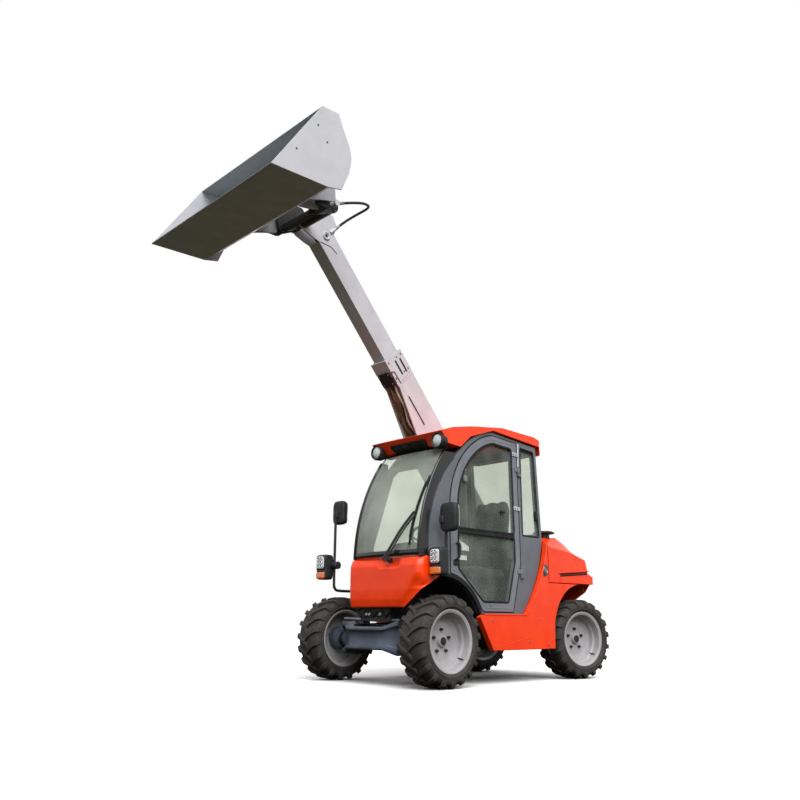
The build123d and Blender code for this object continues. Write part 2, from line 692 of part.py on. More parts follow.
def barrel(base, eye, pin, width, radius, length, bore):
    frame = cylinder_frame(base, eye)
    tube = Pos(0, 0, (length + 20) / 2) * Cylinder(radius, length - 20)
    tube += Rot(0, 90, 0) * Cylinder(radius * 0.9, width)
    tube -= Pos(0, 0, length) * Cylinder(bore + FIT, 2 * (length - radius - 30))
    tube -= Rot(0, 90, 0) * Cylinder(pin + FIT, width + 20)
    return frame * tube


def piston_rod(base, eye, width, radius, start, eye_radius):
    frame = cylinder_frame(base, eye)
    length = hypot(eye[0] - base[0], eye[1] - base[1])
    bar = Pos(0, 0, (start + length) / 2) * Cylinder(radius, length - start)
    bar += Pos(0, 0, length) * Rot(0, 90, 0) * Cylinder(eye_radius, width)
    return frame * bar


def auxiliary_hose():
    """Sleeved hose from the boom's nose out and back to the swivel on the hub's axis."""
    radii = []
    for before, here, after in zip(HOSE_ROUTE, HOSE_ROUTE[1:], HOSE_ROUTE[2:]):
        arriving, leaving = Vector(*here) - Vector(*before), Vector(*after) - Vector(*here)
        turn = radians(arriving.get_angle(leaving))
        radii.append(0.45 * min(arriving.length, leaving.length) / tan(turn / 2))
    print("hose radii", [round(radius) for radius in radii])
    path = FilletPolyline(*HOSE_ROUTE, radius=radii)
    section = Plane(origin=path @ 0, z_dir=path % 0) * Circle(HOSE_RADIUS)
    return sweep(section, path=path)


def side_mirror(shape):
    return mirror(shape, about=Plane.YZ)


def models():
    pieces = {
        "chassis_frame": chassis_frame(), "engine_block": engine_block(), "cab_frame": cab_frame(),
        "cab_floor": cab_floor(), "cab_roof": cab_roof(), "windscreen": windscreen(), "cab_glass": cab_glass(),
        "door": door(), "door_glass": door_glass(), "front_panel": front_panel(), "left_skirt": left_skirt(),
        "engine_hood": engine_hood(), "hydraulic_tank": hydraulic_tank(), "tow_hitch": tow_hitch(),
        "seat": seat(), "dashboard": dashboard(), "steering_wheel": steering_wheel(), "wiper": wiper(),
        "mirrors": mirrors(), "lamps": lamps(), "boom_outer": boom_outer(), "boom_inner": boom_inner(),
        "carriage": carriage(), "bucket": bucket(), "auxiliary_hose": auxiliary_hose(),
    }
    lift_eye = boom_point(*LIFT_LUG)
    pieces["lift_cylinder"] = barrel(LIFT_BASE, lift_eye, 18, 80, 40, 720, 22)
    pieces["lift_rod"] = piston_rod(LIFT_BASE, lift_eye, 80, 22, 480, 34)
    hinge = boom_point(*TILT_HINGE)
    pieces["tilt_cylinder"] = barrel(hinge, tilt_pin(), 14, 44, 26, 285, 13)
    pieces["tilt_rod"] = piston_rod(hinge, tilt_pin(), 44, 13, 195, 24)
    left_knuckle, left_rim, left_tyre = knuckle(), rim(), tyre()
    for axle_name, axle_y in AXLES.items():
        turn = REAR_STEER_REST if axle_name == "rear" else 0
        reach = STEER_ARM * sin(radians(turn))
        place = Pos(0, axle_y, TYRE_RADIUS)
        pieces[f"{axle_name}_axle"] = place * axle()
        pieces[f"{axle_name}_steering_rod"] = place * Pos(-reach, STEER_ARM, 80) * steering_rod()
        for side_name, side in SIDES.items():
            kingpin = place * Pos(side * KINGPIN_X, 0, 0) * Rot(0, 0, turn)
            wheel = kingpin * Pos(side * (WHEEL_X - KINGPIN_X), 0, 0)
            for kind, shape, spot in (
                ("knuckle", left_knuckle, kingpin), ("rim", left_rim, wheel), ("tyre", left_tyre, wheel),
            ):
                sided = shape if side > 0 else side_mirror(shape)
                pieces[f"{axle_name}_{side_name}_{kind}"] = spot * sided
    return pieces


def main():
    os.makedirs("parts", exist_ok=True)
    for name, shape in models().items():
        export_step(Pos(0, ORIGIN_SHIFT, 0) * shape, f"parts/{name}.step")


if __name__ == "__main__":
    main()
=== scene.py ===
from math import cos, pi, radians, sin
import bmesh
import bpy
import numpy as np
from mathutils import Matrix


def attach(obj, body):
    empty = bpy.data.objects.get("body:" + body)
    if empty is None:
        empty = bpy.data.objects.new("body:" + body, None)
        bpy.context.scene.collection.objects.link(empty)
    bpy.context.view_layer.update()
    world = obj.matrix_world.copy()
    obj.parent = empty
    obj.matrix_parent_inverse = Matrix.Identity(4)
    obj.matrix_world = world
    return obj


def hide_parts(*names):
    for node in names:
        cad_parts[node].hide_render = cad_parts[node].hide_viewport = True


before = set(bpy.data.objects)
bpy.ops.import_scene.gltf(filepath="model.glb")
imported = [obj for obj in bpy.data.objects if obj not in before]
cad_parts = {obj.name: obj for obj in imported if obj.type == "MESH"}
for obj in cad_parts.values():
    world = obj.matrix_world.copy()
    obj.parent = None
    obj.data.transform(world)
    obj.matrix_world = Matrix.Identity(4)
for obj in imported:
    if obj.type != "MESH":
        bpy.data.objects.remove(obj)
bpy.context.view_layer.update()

# Places are written in metres from the ground under the middle of the front axle, with x to the left
# and y to the rear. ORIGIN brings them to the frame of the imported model.
ORIGIN = np.array([0.0, -0.1403, 0.0])
LEFT, RIGHT, AHEAD, BACK, UP = (1, 0, 0), (-1, 0, 0), (0, -1, 0), (0, 1, 0), (0, 0, 1)
CENTRE = (0, 0, 0)
FACING = (LEFT, UP, AHEAD)    # across, up and through a shape that looks ahead
HANDS = {"left": 1, "right": -1}
SIDES = (1, -1)
HUB_HEIGHT = 0.350
KINGPIN_X = 0.450
HUB_X = 0.6275
WHEELBASE = 1.840
REAR_STEER_REST = radians(-10)
CAB_LEFT = 0.660
CAB_RIGHT = -0.150

# Boom coordinates are (s, t): s along the boom from its pivot, t square to it.
BOOM_X = -0.290
BOOM_PIVOT = (1.760, 1.220)
BOOM_ANGLE = radians(48.6)
LIFT_LUG = (0.420, -0.170)
HEAD_PIVOT = (3.775, -0.160)
NOSE_HUB = (3.566, 0.010)
TILT_HINGE = (3.350, 0.013)
LIFT_BASE = (0.750, 0.460)    # y, z
TILT_ARM = 0.111
TILT_ARM_ANGLE = radians(96)


# ---------------------------------------------------------------- materials

def srgb(r, g, b):
    """Linear colour of a display colour given from 0 to 255."""
    v = np.array([r, g, b]) / 255
    linear = np.where(v <= 0.04045, v / 12.92, ((v + 0.055) / 1.055) ** 2.4)
    return (*linear, 1.0)


def dimmed(colour, share):
    """A colour at a share of its brightness."""
    return tuple(share * c for c in colour[:3]) + (1.0,)


def wired(tree, made, **sockets):
    """A node with its sockets set, or linked where the value is a socket itself. A socket is given by its
    name, or by i and its index."""
    for key, value in sockets.items():
        name = key.replace("_", " ")
        socket = made.inputs[int(name[1:]) if name[1:].isdigit() else name]
        if isinstance(value, bpy.types.NodeSocket):
            tree.links.new(value, socket)
        else:
            socket.default_value = value
    return made


def node(tree, kind, settings=(), **sockets):
    """A new shader node with its settings and sockets."""
    made = tree.nodes.new(kind)
    for key, value in dict(settings).items():
        setattr(made, key, value)
    return wired(tree, made, **sockets)


def maths(tree, operation, first, second=0.0):
    """One step of arithmetic."""
    return node(tree, "ShaderNodeMath", {"operation": operation}, i0=first, i1=second).outputs[0]


def noise(tree, place, scale, detail=3.0):
    """A cloudy pattern in object space, scale features to the metre."""
    made = node(tree, "ShaderNodeTexNoise", Vector=place, Scale=scale, Detail=detail, Roughness=0.55)
    return made.outputs[0]


def bands(tree, place, way, count):
    """Light and dark bands across a way, count to the metre."""
    return node(tree, "ShaderNodeTexWave", {"bands_direction": way}, Vector=place, Scale=count)


def spread(tree, value, low, high, start=0.35, end=0.65):
    """A value between start and end brought to between low and high."""
    return node(tree, "ShaderNodeMapRange", i0=value, i1=start, i2=end, i3=low, i4=high).outputs[0]


def blended(tree, share, first, second):
    """A colour between two others, as share goes from 0 to 1."""
    return node(tree, "ShaderNodeMix", {"data_type": "RGBA"}, i0=share, i6=first, i7=second).outputs[2]


def blank(name, **constants):
    """A material, its node tree, its surface shader with constants set, and its object coordinates."""
    mat = bpy.data.materials.new(name)
    mat.use_nodes = True
    tree = mat.node_tree
    skin = wired(tree, tree.nodes["Principled BSDF"], **constants)
    return mat, tree, skin, node(tree, "ShaderNodeTexCoord").outputs["Object"]


def emptied(holder):
    """The node tree of a world or a material, with nothing in it."""
    holder.use_nodes = True
    holder.node_tree.nodes.clear()
    return holder.node_tree


def raised(tree, skin, height, strength, depth=0.002):
    """Relief on a surface, depth metres where height goes from 0 to 1."""
    bump = node(tree, "ShaderNodeBump", Height=height, Strength=strength, Distance=depth)
    wired(tree, skin, Normal=bump.outputs[0])
    return bump


def finish(name, colour, shade, rough, metal=0.0, coat=0.0, patch=5.0, grain=260.0, relief=0.02,
           edge=0.0, speck=0.0):
    """Colour clouds into shade over patches; roughness clouds at three times that; grain makes the relief.
    edge rounds the corners to that radius in metres, and speck is the share of fine mottling."""
    mat, tree, skin, place = blank(name, Metallic=metal, Coat_Weight=coat, Coat_Roughness=0.12,
                                   Specular_IOR_Level=0.35)
    tone = blended(tree, spread(tree, noise(tree, place, patch), 0.0, 1.0), colour, shade)
    if speck:
        fine = spread(tree, noise(tree, place, grain * 0.5, 2.0), 0.0, speck)
        tone = blended(tree, fine, tone, shade)
    wear = spread(tree, noise(tree, place, patch * 3), rough * 0.8, min(1.0, rough * 1.25))
    wired(tree, skin, Base_Color=tone, Roughness=wear)
    bump = raised(tree, skin, noise(tree, place, grain, 2.0), relief)
    if edge:
        soft = node(tree, "ShaderNodeBevel", {"samples": 4}, Radius=edge)
        wired(tree, bump, Normal=soft.outputs[0])
    return mat


def shade_painted_within(mat, half_width, shade_tone):
    """Paints shade into a paint: wherever x is within half_width of the middle, its colour turns mostly to a
    darker painted-shade grey, mottled with the paint.
    """
    tree = mat.node_tree
    skin = tree.nodes["Principled BSDF"]
    paint = skin.inputs["Base Color"].links[0].from_socket
    place = node(tree, "ShaderNodeTexCoord").outputs["Object"]
    x = node(tree, "ShaderNodeSeparateXYZ", Vector=place).outputs["X"]
    # painted shade: within half_width the paint gives way to the darker grey, in patches
    within = maths(tree, "LESS_THAN", maths(tree, "ABSOLUTE", x), half_width)
    mottle = spread(tree, noise(tree, place, 9.0), 0.0, 0.25)
    wired(tree, skin, Base_Color=blended(tree, within, paint, blended(tree, mottle, shade_tone, paint)))
    return mat


def glazing(name, tint, veil, body):
    """Thin safety glass: what is behind shows through a tint, under a clear shiny surface of weight veil
    whose colour clouds between body and tint as a painted reflection.
    """
    mat, tree, skin, place = blank(name, Roughness=0.04)
    # painted reflection: the shiny surface's colour clouds between the darker body tone and the tint
    painted_reflection = spread(tree, noise(tree, place, 2.4, 2.0), 0.0, 1.0)
    wired(tree, skin, Base_Color=blended(tree, painted_reflection, body, tint))
    clear = node(tree, "ShaderNodeBsdfTransparent", Color=tint)
    mixed = node(tree, "ShaderNodeMixShader", i0=veil, i1=clear.outputs[0], i2=skin.outputs[0])
    wired(tree, tree.nodes["Material Output"], i0=mixed.outputs[0])
    return mat


def moulded_lens(name, colour, ribs):
    """Ribbed translucent plastic: light and dark bands run across it, ribs to the metre."""
    mat, tree, skin, place = blank(name, Roughness=0.12, Coat_Weight=0.8)
    height = wired(tree, bands(tree, place, "X", ribs), Distortion=0.6).outputs["Fac"]
    wired(tree, skin, Base_Color=blended(tree, height, dimmed(colour, 0.45), colour))
    raised(tree, skin, height, 0.4)
    return mat


def woven(name, colour, shade, threads):
    """Seat cloth: two crossed sets of threads lift the surface and change its tone."""
    mat, tree, skin, place = blank(name, Roughness=0.9, Sheen_Weight=0.3)
    sets = [bands(tree, place, way, threads).outputs["Fac"] for way in ("X", "DIAGONAL")]
    both = maths(tree, "MULTIPLY", *sets)
    wired(tree, skin, Base_Color=blended(tree, both, shade, colour))
    raised(tree, skin, both, 0.5, 0.001)
    return mat


LIGHT_TONES = (srgb(198, 198, 204), srgb(188, 188, 194))
BUCKET_INSIDE = 0.8655    # from the middle to just short of the side plates' inner faces
ORANGE = finish("orange_paint", srgb(250, 66, 8), srgb(242, 56, 4), 0.36, coat=0.12, edge=0.004)
SLATE = finish("slate_paint", srgb(100, 104, 112), srgb(90, 94, 102), 0.38, coat=0.2, edge=0.004)
DOOR_GREY = finish("door_paint", srgb(116, 120, 128), srgb(106, 110, 118), 0.36, coat=0.25, edge=0.004)
LIGHT = finish("light_paint", *LIGHT_TONES, 0.42, coat=0.2, edge=0.003)
# bucket_paint: between the side plates (BUCKET_INSIDE) the shell's inside and underside are painted a darker
# grey as painted shade
BUCKET = shade_painted_within(finish("bucket_paint", *LIGHT_TONES, 0.42, coat=0.2, edge=0.003),
                 BUCKET_INSIDE, srgb(156, 161, 166))
AXLE = finish("axle_paint", srgb(78, 88, 102), srgb(62, 70, 82), 0.45, coat=0.15, edge=0.004, speck=0.3)
DARK = finish("dark_paint", srgb(36, 37, 40), srgb(26, 27, 30), 0.5, coat=0.1, edge=0.003)
PLASTIC = finish("black_plastic", srgb(40, 41, 43), srgb(30, 31, 33), 0.55, grain=900, relief=0.12,
                 speck=0.4)
GLOSS_BLACK = finish("black_enamel", srgb(24, 25, 27), srgb(18, 19, 21), 0.2, coat=0.4)
SEAL = finish("rubber_seal", srgb(22, 22, 24), srgb(15, 15, 16), 0.7, grain=500, relief=0.05)
TYRE = finish("tyre_rubber", srgb(66, 62, 60), srgb(52, 48, 46), 0.8, patch=14, grain=420, relief=0.25,
              speck=0.5)
RIM = finish("silver_paint", srgb(170, 168, 170), srgb(155, 153, 156), 0.36, metal=0.1, coat=0.2,
             edge=0.003)
CHROME = finish("hard_chrome", srgb(214, 216, 220), srgb(196, 198, 203), 0.12, metal=1.0, relief=0.004)
ZINC = finish("zinc_steel", srgb(150, 150, 150), srgb(116, 116, 118), 0.4, metal=0.8, patch=40, speck=0.3)
CAST = finish("dark_casting", srgb(58, 56, 54), srgb(40, 39, 38), 0.7, metal=0.3, patch=18, grain=350,
              relief=0.3)
WORN = finish("worn_edge", srgb(120, 118, 116), srgb(86, 84, 82), 0.5, metal=0.6, patch=25, grain=300,
              relief=0.15)
MIRROR = finish("silvered_glass", srgb(214, 220, 222), srgb(206, 212, 214), 0.03, metal=1.0, relief=0.0)
# the last colour of each glass is the darker tone of its painted reflection
PANE = glazing("clear_glass", srgb(242, 245, 240), 0.10, srgb(150, 158, 150))
SCREEN = glazing("screen_glass", srgb(242, 246, 240), 0.22, srgb(190, 198, 186))
LENS = moulded_lens("clear_lens", srgb(232, 236, 240), 26.0)
AMBER = moulded_lens("amber_lens", srgb(255, 130, 20), 30.0)
CLOTH = woven("seat_cloth", srgb(44, 45, 48), srgb(24, 24, 26), 120.0)


# ---------------------------------------------------------------- surfaces

def unit(v):
    """Vectors divided by their lengths."""
    v = np.asarray(v, float)
    return v / np.linalg.norm(v, axis=-1, keepdims=True)


def grid(points, around=False, first=None, last=None):
    """A surface through points[i, j]. around joins the last column to the first, and first and last
    close the two ends with a fan of faces to one point each."""
    rows, cols = points.shape[:2]
    index = np.arange(rows * cols).reshape(rows, cols)
    right = np.roll(index, -1, 1) if around else index[:, 1:]
    here = index if around else index[:, :-1]
    quads = np.stack([here[:-1], right[:-1], right[1:], here[1:]], -1).reshape(-1, 4).tolist()
    verts = points.reshape(-1, 3)
    for tip, row in ((first, 0), (last, rows - 1)):
        if tip is not None:
            fan = np.full(here.shape[1], len(verts))
            quads += np.stack([here[row], right[row], fan], -1).tolist()
            verts = np.vstack([verts, np.asarray(tip, float)[None]])
    return verts, quads


def circle(count):
    """The cosines and the sines of even steps round a circle."""
    turn = np.arange(count) * 2 * pi / count
    return np.cos(turn), np.sin(turn)


def spun(profile, centre, axis, sides):
    """Each (distance along the axis, radius) of a profile carried round the axis."""
    axis = unit(axis)
    helper = np.array([0, 0, 1.0]) if abs(axis[2]) < 0.9 else np.array([1.0, 0, 0])
    one = unit(np.cross(helper, axis))
    two = np.cross(axis, one)
    cosine, sine = circle(sides)
    ring = cosine[:, None] * one + sine[:, None] * two
    return np.asarray(centre, float) + profile[:, 0, None, None] * axis + profile[:, 1, None, None] * ring


def lathe(profile, centre, axis, sides=40):
    """A profile carried round the axis, closed at both ends level with its first and last distance."""
    profile = np.asarray(profile, float)
    tips = np.asarray(centre, float) + profile[[0, -1], :1] * unit(axis)
    return grid(spun(profile[profile[:, 1] > 0], centre, axis, sides), True, *tips)


def ringed(profile, centre, axis, sides=64):
    """A closed profile carried round the axis, as a torus is."""
    profile = np.asarray(profile, float)
    return grid(spun(np.vstack([profile, profile[:1]]), centre, axis, sides), True)


def smooth_path(points, steps=8):
    """A path through points, each stretch a cubic whose ends have the slope of the chord beside them."""
    p = np.asarray(points, float)
    slope = np.gradient(p, axis=0)
    t = np.linspace(0, 1, steps, endpoint=False)[None, :, None]
    a, b, da, db = p[:-1, None], p[1:, None], slope[:-1, None], slope[1:, None]
    places = (2 * t**3 - 3 * t**2 + 1) * a + (3 * t**2 - 2 * t**3) * b
    curve = places + (t**3 - 2 * t**2 + t) * da + (t**3 - t**2) * db
    return np.vstack([curve.reshape(-1, p.shape[1]), p[-1:]])


def tube(path, radius, sides=12, flat=1.0, closed=False):
    """A circle, or an ellipse flattened to flat, carried along a path square to it."""
    path = np.asarray(path, float)
    way = unit(np.roll(path, -1, 0) - np.roll(path, 1, 0) if closed else np.gradient(path, axis=0))
    one = unit(np.cross(way, np.eye(3)[np.argmin(np.abs(way).max(0))]))
    two = np.cross(way, one)
    cosine, sine = circle(sides)
    offset = cosine[None, :, None] * one[:, None] + flat * sine[None, :, None] * two[:, None]
    radius = np.broadcast_to(np.asarray(radius, float), (len(path),))[:, None, None]
    points = path[:, None] + radius * offset
    if closed:
        return grid(np.concatenate([points, points[:1]]), True)
    return grid(points, True, path[0], path[-1])


def pipe(points, radius, sides=10, flat=1.0):
    """A tube along the smooth path through points."""
    return tube(smooth_path(points), radius, sides, flat)


def inward(flat):
    """At each corner of a closed outline, the way that halves it, and the cosine of half the turn there."""
    before, after = unit(flat - np.roll(flat, 1, 0)), unit(np.roll(flat, -1, 0) - flat)
    area = np.sum(flat[:, 0] * np.roll(flat[:, 1], -1) - flat[:, 1] * np.roll(flat[:, 0], -1))
    both = before + after
    way = unit(np.sign(area) * np.stack([-both[:, 1], both[:, 0]], -1))
    return way, np.sqrt((1 + np.sum(before * after, -1)) / 2)


def plate(outline, place, low, high, edge=0.002):
    """A flat outline given as (a, b) pairs pushed from low to high along c, its two rims drawn in by
    edge. place turns arrays of a, b and c into points."""
    flat = np.asarray(outline, float)
    way, half_turn = inward(flat)
    way = way / np.clip(half_turn, 0.4, 1)[:, None]
    levels = [(low, edge), (low + edge, 0), (high - edge, 0), (high, edge)]
    rings = [place(*(flat + inset * way).T, np.full(len(flat), level)) for level, inset in levels]
    verts, faces = grid(np.stack(rings), True)
    count = len(flat)
    return verts, faces + [list(range(count)), list(range(3 * count, 4 * count))]


def pillow(centre, size, power=4.0, rows=14, cols=28, axes=(LEFT, BACK, UP)):
    """A superellipsoid: each coordinate is a power of the sine and cosine of latitude and longitude."""
    def bent(v):
        """A share drawn out towards the corners."""
        return np.sign(v) * np.abs(v) ** (2 / power)
    lat = np.linspace(-pi / 2, pi / 2, rows + 2)[1:-1, None]
    cosine, sine = circle(cols)
    level = bent(np.cos(lat))
    shares = np.broadcast_arrays(level * bent(cosine), level * bent(sine), bent(np.sin(lat)))
    arms = np.asarray(axes, float) * np.asarray(size, float)[:, None] / 2
    centre = np.asarray(centre, float)
    return grid(centre + np.stack(shares, -1) @ arms, True, centre - arms[2], centre + arms[2])


def scatter(shape, places):
    """Copies of one small shape at each place."""
    verts, faces = shape
    places = np.asarray(places, float).reshape(-1, 3)
    every = (places[:, None] + verts[None]).reshape(-1, 3)
    return every, [[i + k * len(verts) for i in face] for k in range(len(places)) for face in faces]


def bolts(places, axis, size=0.009):
    """Hexagon heads on washers, standing out along axis."""
    washer = lathe([(0, size * 1.35), (size * 0.25, size * 1.35)], CENTRE, axis, 12)
    head = lathe([(size * 0.2, size), (size * 0.85, size), (size, size * 0.85)], CENTRE, axis, 6)
    return [scatter(washer, places), scatter(head, places)]


def arc(a, b, c, count=10):
    """Points of a plane on the circle through a, b and c, from a by b to c."""
    (ax, ay), (bx, by), (cx, cy) = a, b, c
    d = 2 * (ax * (by - cy) + bx * (cy - ay) + cx * (ay - by))
    sa, sb, sc = ax*ax + ay*ay, bx*bx + by*by, cx*cx + cy*cy
    x = (sa * (by - cy) + sb * (cy - ay) + sc * (ay - by)) / d
    y = (sa * (cx - bx) + sb * (ax - cx) + sc * (bx - ax)) / d
    angles = np.unwrap([np.arctan2(q - y, p - x) for p, q in (a, b, c)])
    t = np.interp(np.linspace(0, 1, count), [0, 0.5, 1], angles)
    r = np.hypot(ax - x, ay - y)
    return np.stack([x + r * np.cos(t), y + r * np.sin(t)], -1)


def run(*parts):
    """Points of several stretches as one line."""
    return np.vstack([np.asarray(part, float) for part in parts])


def dense(line, step=0.03, closed=True):
    """Points at even steps along a line, so that it bends where it should."""
    line = np.asarray(line, float)
    ends = np.vstack([line, line[:1]]) if closed else line
    length = np.concatenate([[0], np.cumsum(np.linalg.norm(np.diff(ends, axis=0), axis=1))])
    at = np.linspace(0, length[-1], int(length[-1] / step) + 1)[: -1 if closed else None]
    return np.stack([np.interp(at, length, ends[:, k]) for k in range(ends.shape[1])], -1)


def eased(value, low, high):
    """Goes from 0 at low to 1 at high with level ends."""
    share = np.clip((value - low) / (high - low), 0, 1)
    return share * share * (3 - 2 * share)


def side(y, z, x):
    """Places a side view's outline: y and z in the plane, x across the machine."""
    return np.stack([x, y, z], -1)


def front(x, z, y):
    """Places a front view's outline: x and z in the plane, y through it."""
    return np.stack([x, y, z], -1)


def boom(s, t, x):
    """Places boom coordinates, with x left of the boom's middle."""
    s, t, x = np.broadcast_arrays(*(np.asarray(v, float) for v in (s, t, x)))
    y = BOOM_PIVOT[0] - s * cos(BOOM_ANGLE) + t * sin(BOOM_ANGLE)
    z = BOOM_PIVOT[1] + s * sin(BOOM_ANGLE) + t * cos(BOOM_ANGLE)
    return np.stack([BOOM_X + x, y, z], -1)


def moved(shapes, turn, centre, stretch=1.0):
    """Shapes made round the origin, stretched, turned by a matrix and brought to a centre."""
    return [(verts * stretch @ turn.T + centre, faces) for verts, faces in shapes]


def placed(name, data):
    """A new object in the scene."""
    made = bpy.data.objects.new(name, data)
    bpy.context.scene.collection.objects.link(made)
    return made


def cleaned(mesh, merge=0.0):
    """Points nearer than merge made one, and every face turned outwards."""
    work = bmesh.new()
    work.from_mesh(mesh)
    if merge:
        bmesh.ops.remove_doubles(work, verts=work.verts, dist=merge)
    bmesh.ops.recalc_face_normals(work, faces=work.faces)
    work.to_mesh(mesh)
    work.free()


def piece(name, body, layers, stands_for=None, sharp=radians(34)):
    """One object from layers, each a material and its shapes. It rides on a body, and may stand for a
    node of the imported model. Edges that turn by more than sharp stay hard."""
    verts, faces, skins, start = [], [], [], 0
    for layer, (_, shapes) in enumerate(layers):
        for points, polygons in shapes:
            verts.append(points)
            faces += [[i + start for i in polygon] for polygon in polygons]
            skins += [layer] * len(polygons)
            start += len(points)
    mesh = bpy.data.meshes.new(name)
    mesh.from_pydata((np.vstack(verts) + ORIGIN).tolist(), [], faces)
    mesh.polygons.foreach_set("material_index", np.array(skins, np.int32))
    for material, _ in layers:
        mesh.materials.append(material)
    cleaned(mesh)
    mesh.shade_smooth()
    mesh.set_sharp_from_angle(angle=sharp)
    made = placed(name, mesh)
    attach(made, body)
    if stands_for:
        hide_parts(stands_for)
    return made


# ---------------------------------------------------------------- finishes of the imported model's nodes

PAINTED = {
    "chassis_frame": DARK, "cab_frame": SLATE, "cab_floor": PLASTIC, "cab_roof": ORANGE, "cab_glass": PANE,
    "door": DOOR_GREY, "door_glass": PANE, "front_panel": ORANGE, "left_skirt": ORANGE,
    "engine_hood": ORANGE, "hydraulic_tank": ORANGE, "tow_hitch": DARK, "dashboard": PLASTIC,
    "boom_outer": LIGHT, "boom_inner": LIGHT, "carriage": DARK, "bucket": BUCKET, "lift_cylinder": DARK,
    "lift_rod": CHROME, "tilt_cylinder": DARK, "tilt_rod": CHROME, "front_axle": AXLE, "rear_axle": AXLE,
    "front_steering_rod": CHROME, "rear_steering_rod": CHROME,
}
for end in ("front", "rear"):
    for hand in HANDS:
        PAINTED[f"{end}_{hand}_rim"] = RIM
        PAINTED[f"{end}_{hand}_knuckle"] = AXLE
for name, material in PAINTED.items():
    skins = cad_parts[name].data.materials
    if not skins:
        skins.append(material)
    for index in range(len(skins)):
        skins[index] = material




# ---------------------------------------------------------------- wheels

LUGS = 19
LUG_DRAFT = 0.014    # how much further round a bar reaches at its foot than at its top, in radians
# Stations along a bar, from the tyre's middle down its shoulder. The widths are along the axle, the
# heights are from the axle, and the sweep and the bar's half width are angles round it.
TREAD_WIDTHS = np.array([-0.012, 0.020, 0.052, 0.084, 0.110, 0.129, 0.1385, 0.1423, 0.1410])
TREAD_TOPS = np.array([0.3492, 0.3492, 0.3487, 0.3477, 0.3460, 0.3365, 0.319, 0.301, 0.289])
GROOVE_WIDTHS = np.array([-0.012, 0.020, 0.052, 0.084, 0.104, 0.116, 0.124, 0.129, 0.132])
GROOVE_FLOOR = np.array([0.325, 0.325, 0.324, 0.322, 0.318, 0.311, 0.302, 0.293, 0.287])
LUG_SWEEP = np.array([-0.03, 0.055, 0.115, 0.168, 0.204, 0.222, 0.230, 0.233, 0.234])
LUG_HALF = np.array([0.038, 0.038, 0.040, 0.044, 0.050, 0.056, 0.057, 0.052, 0.040])
CARCASS = [(0.1140, 0.2226), (0.1150, 0.240), (0.126, 0.248), (0.1335, 0.256), (0.1378, 0.262),
           (0.1355, 0.267), (0.1370, 0.280), (0.1360, 0.292), (0.1300, 0.306), (0.118, 0.319),
           (0.102, 0.326), (0.060, 0.330)]
NUT_CIRCLE = 0.0875


def tread():
    """Slanting bars: each bar's middle turns round the axle as it runs outward and down the shoulder,
    with four points across it, two at the groove's floor and two at the top."""
    pitch = 2 * pi / LUGS
    shapes = []
    for way, start in ((1, 0.0), (-1, pitch / 2)):
        base = start + pitch * np.arange(LUGS)[:, None, None]
        across = np.stack([-LUG_HALF - LUG_DRAFT, -LUG_HALF, LUG_HALF, LUG_HALF + LUG_DRAFT], -1)[None]
        angle = base - LUG_SWEEP[None, :, None] + across
        radius = np.stack([GROOVE_FLOOR, TREAD_TOPS, TREAD_TOPS, GROOVE_FLOOR], -1)[None]
        width = way * np.stack([GROOVE_WIDTHS, TREAD_WIDTHS, TREAD_WIDTHS, GROOVE_WIDTHS], -1)[None]
        radius, width, angle = np.broadcast_arrays(radius, width, angle)
        for bar in np.stack([width, radius * np.cos(angle), radius * np.sin(angle)], -1):
            skin, quads = grid(bar)
            last = len(skin) - 4
            shapes.append((skin, quads + [[0, 1, 2, 3], [last, last + 1, last + 2, last + 3]]))
    return shapes


def around(radius, count, x, start=0.0):
    """Places evenly round the axle."""
    turn = start + np.arange(count) * 2 * pi / count
    return np.stack([np.full(count, x), radius * np.cos(turn), radius * np.sin(turn)], -1)


def steered(end):
    """The matrix of an axle's steering at rest."""
    return np.array(Matrix.Rotation(REAR_STEER_REST if end == "rear" else 0.0, 3, "Z"))


def kingpin(end, way):
    """The middle of a knuckle."""
    return np.array([way * KINGPIN_X, WHEELBASE if end == "rear" else 0.0, HUB_HEIGHT])


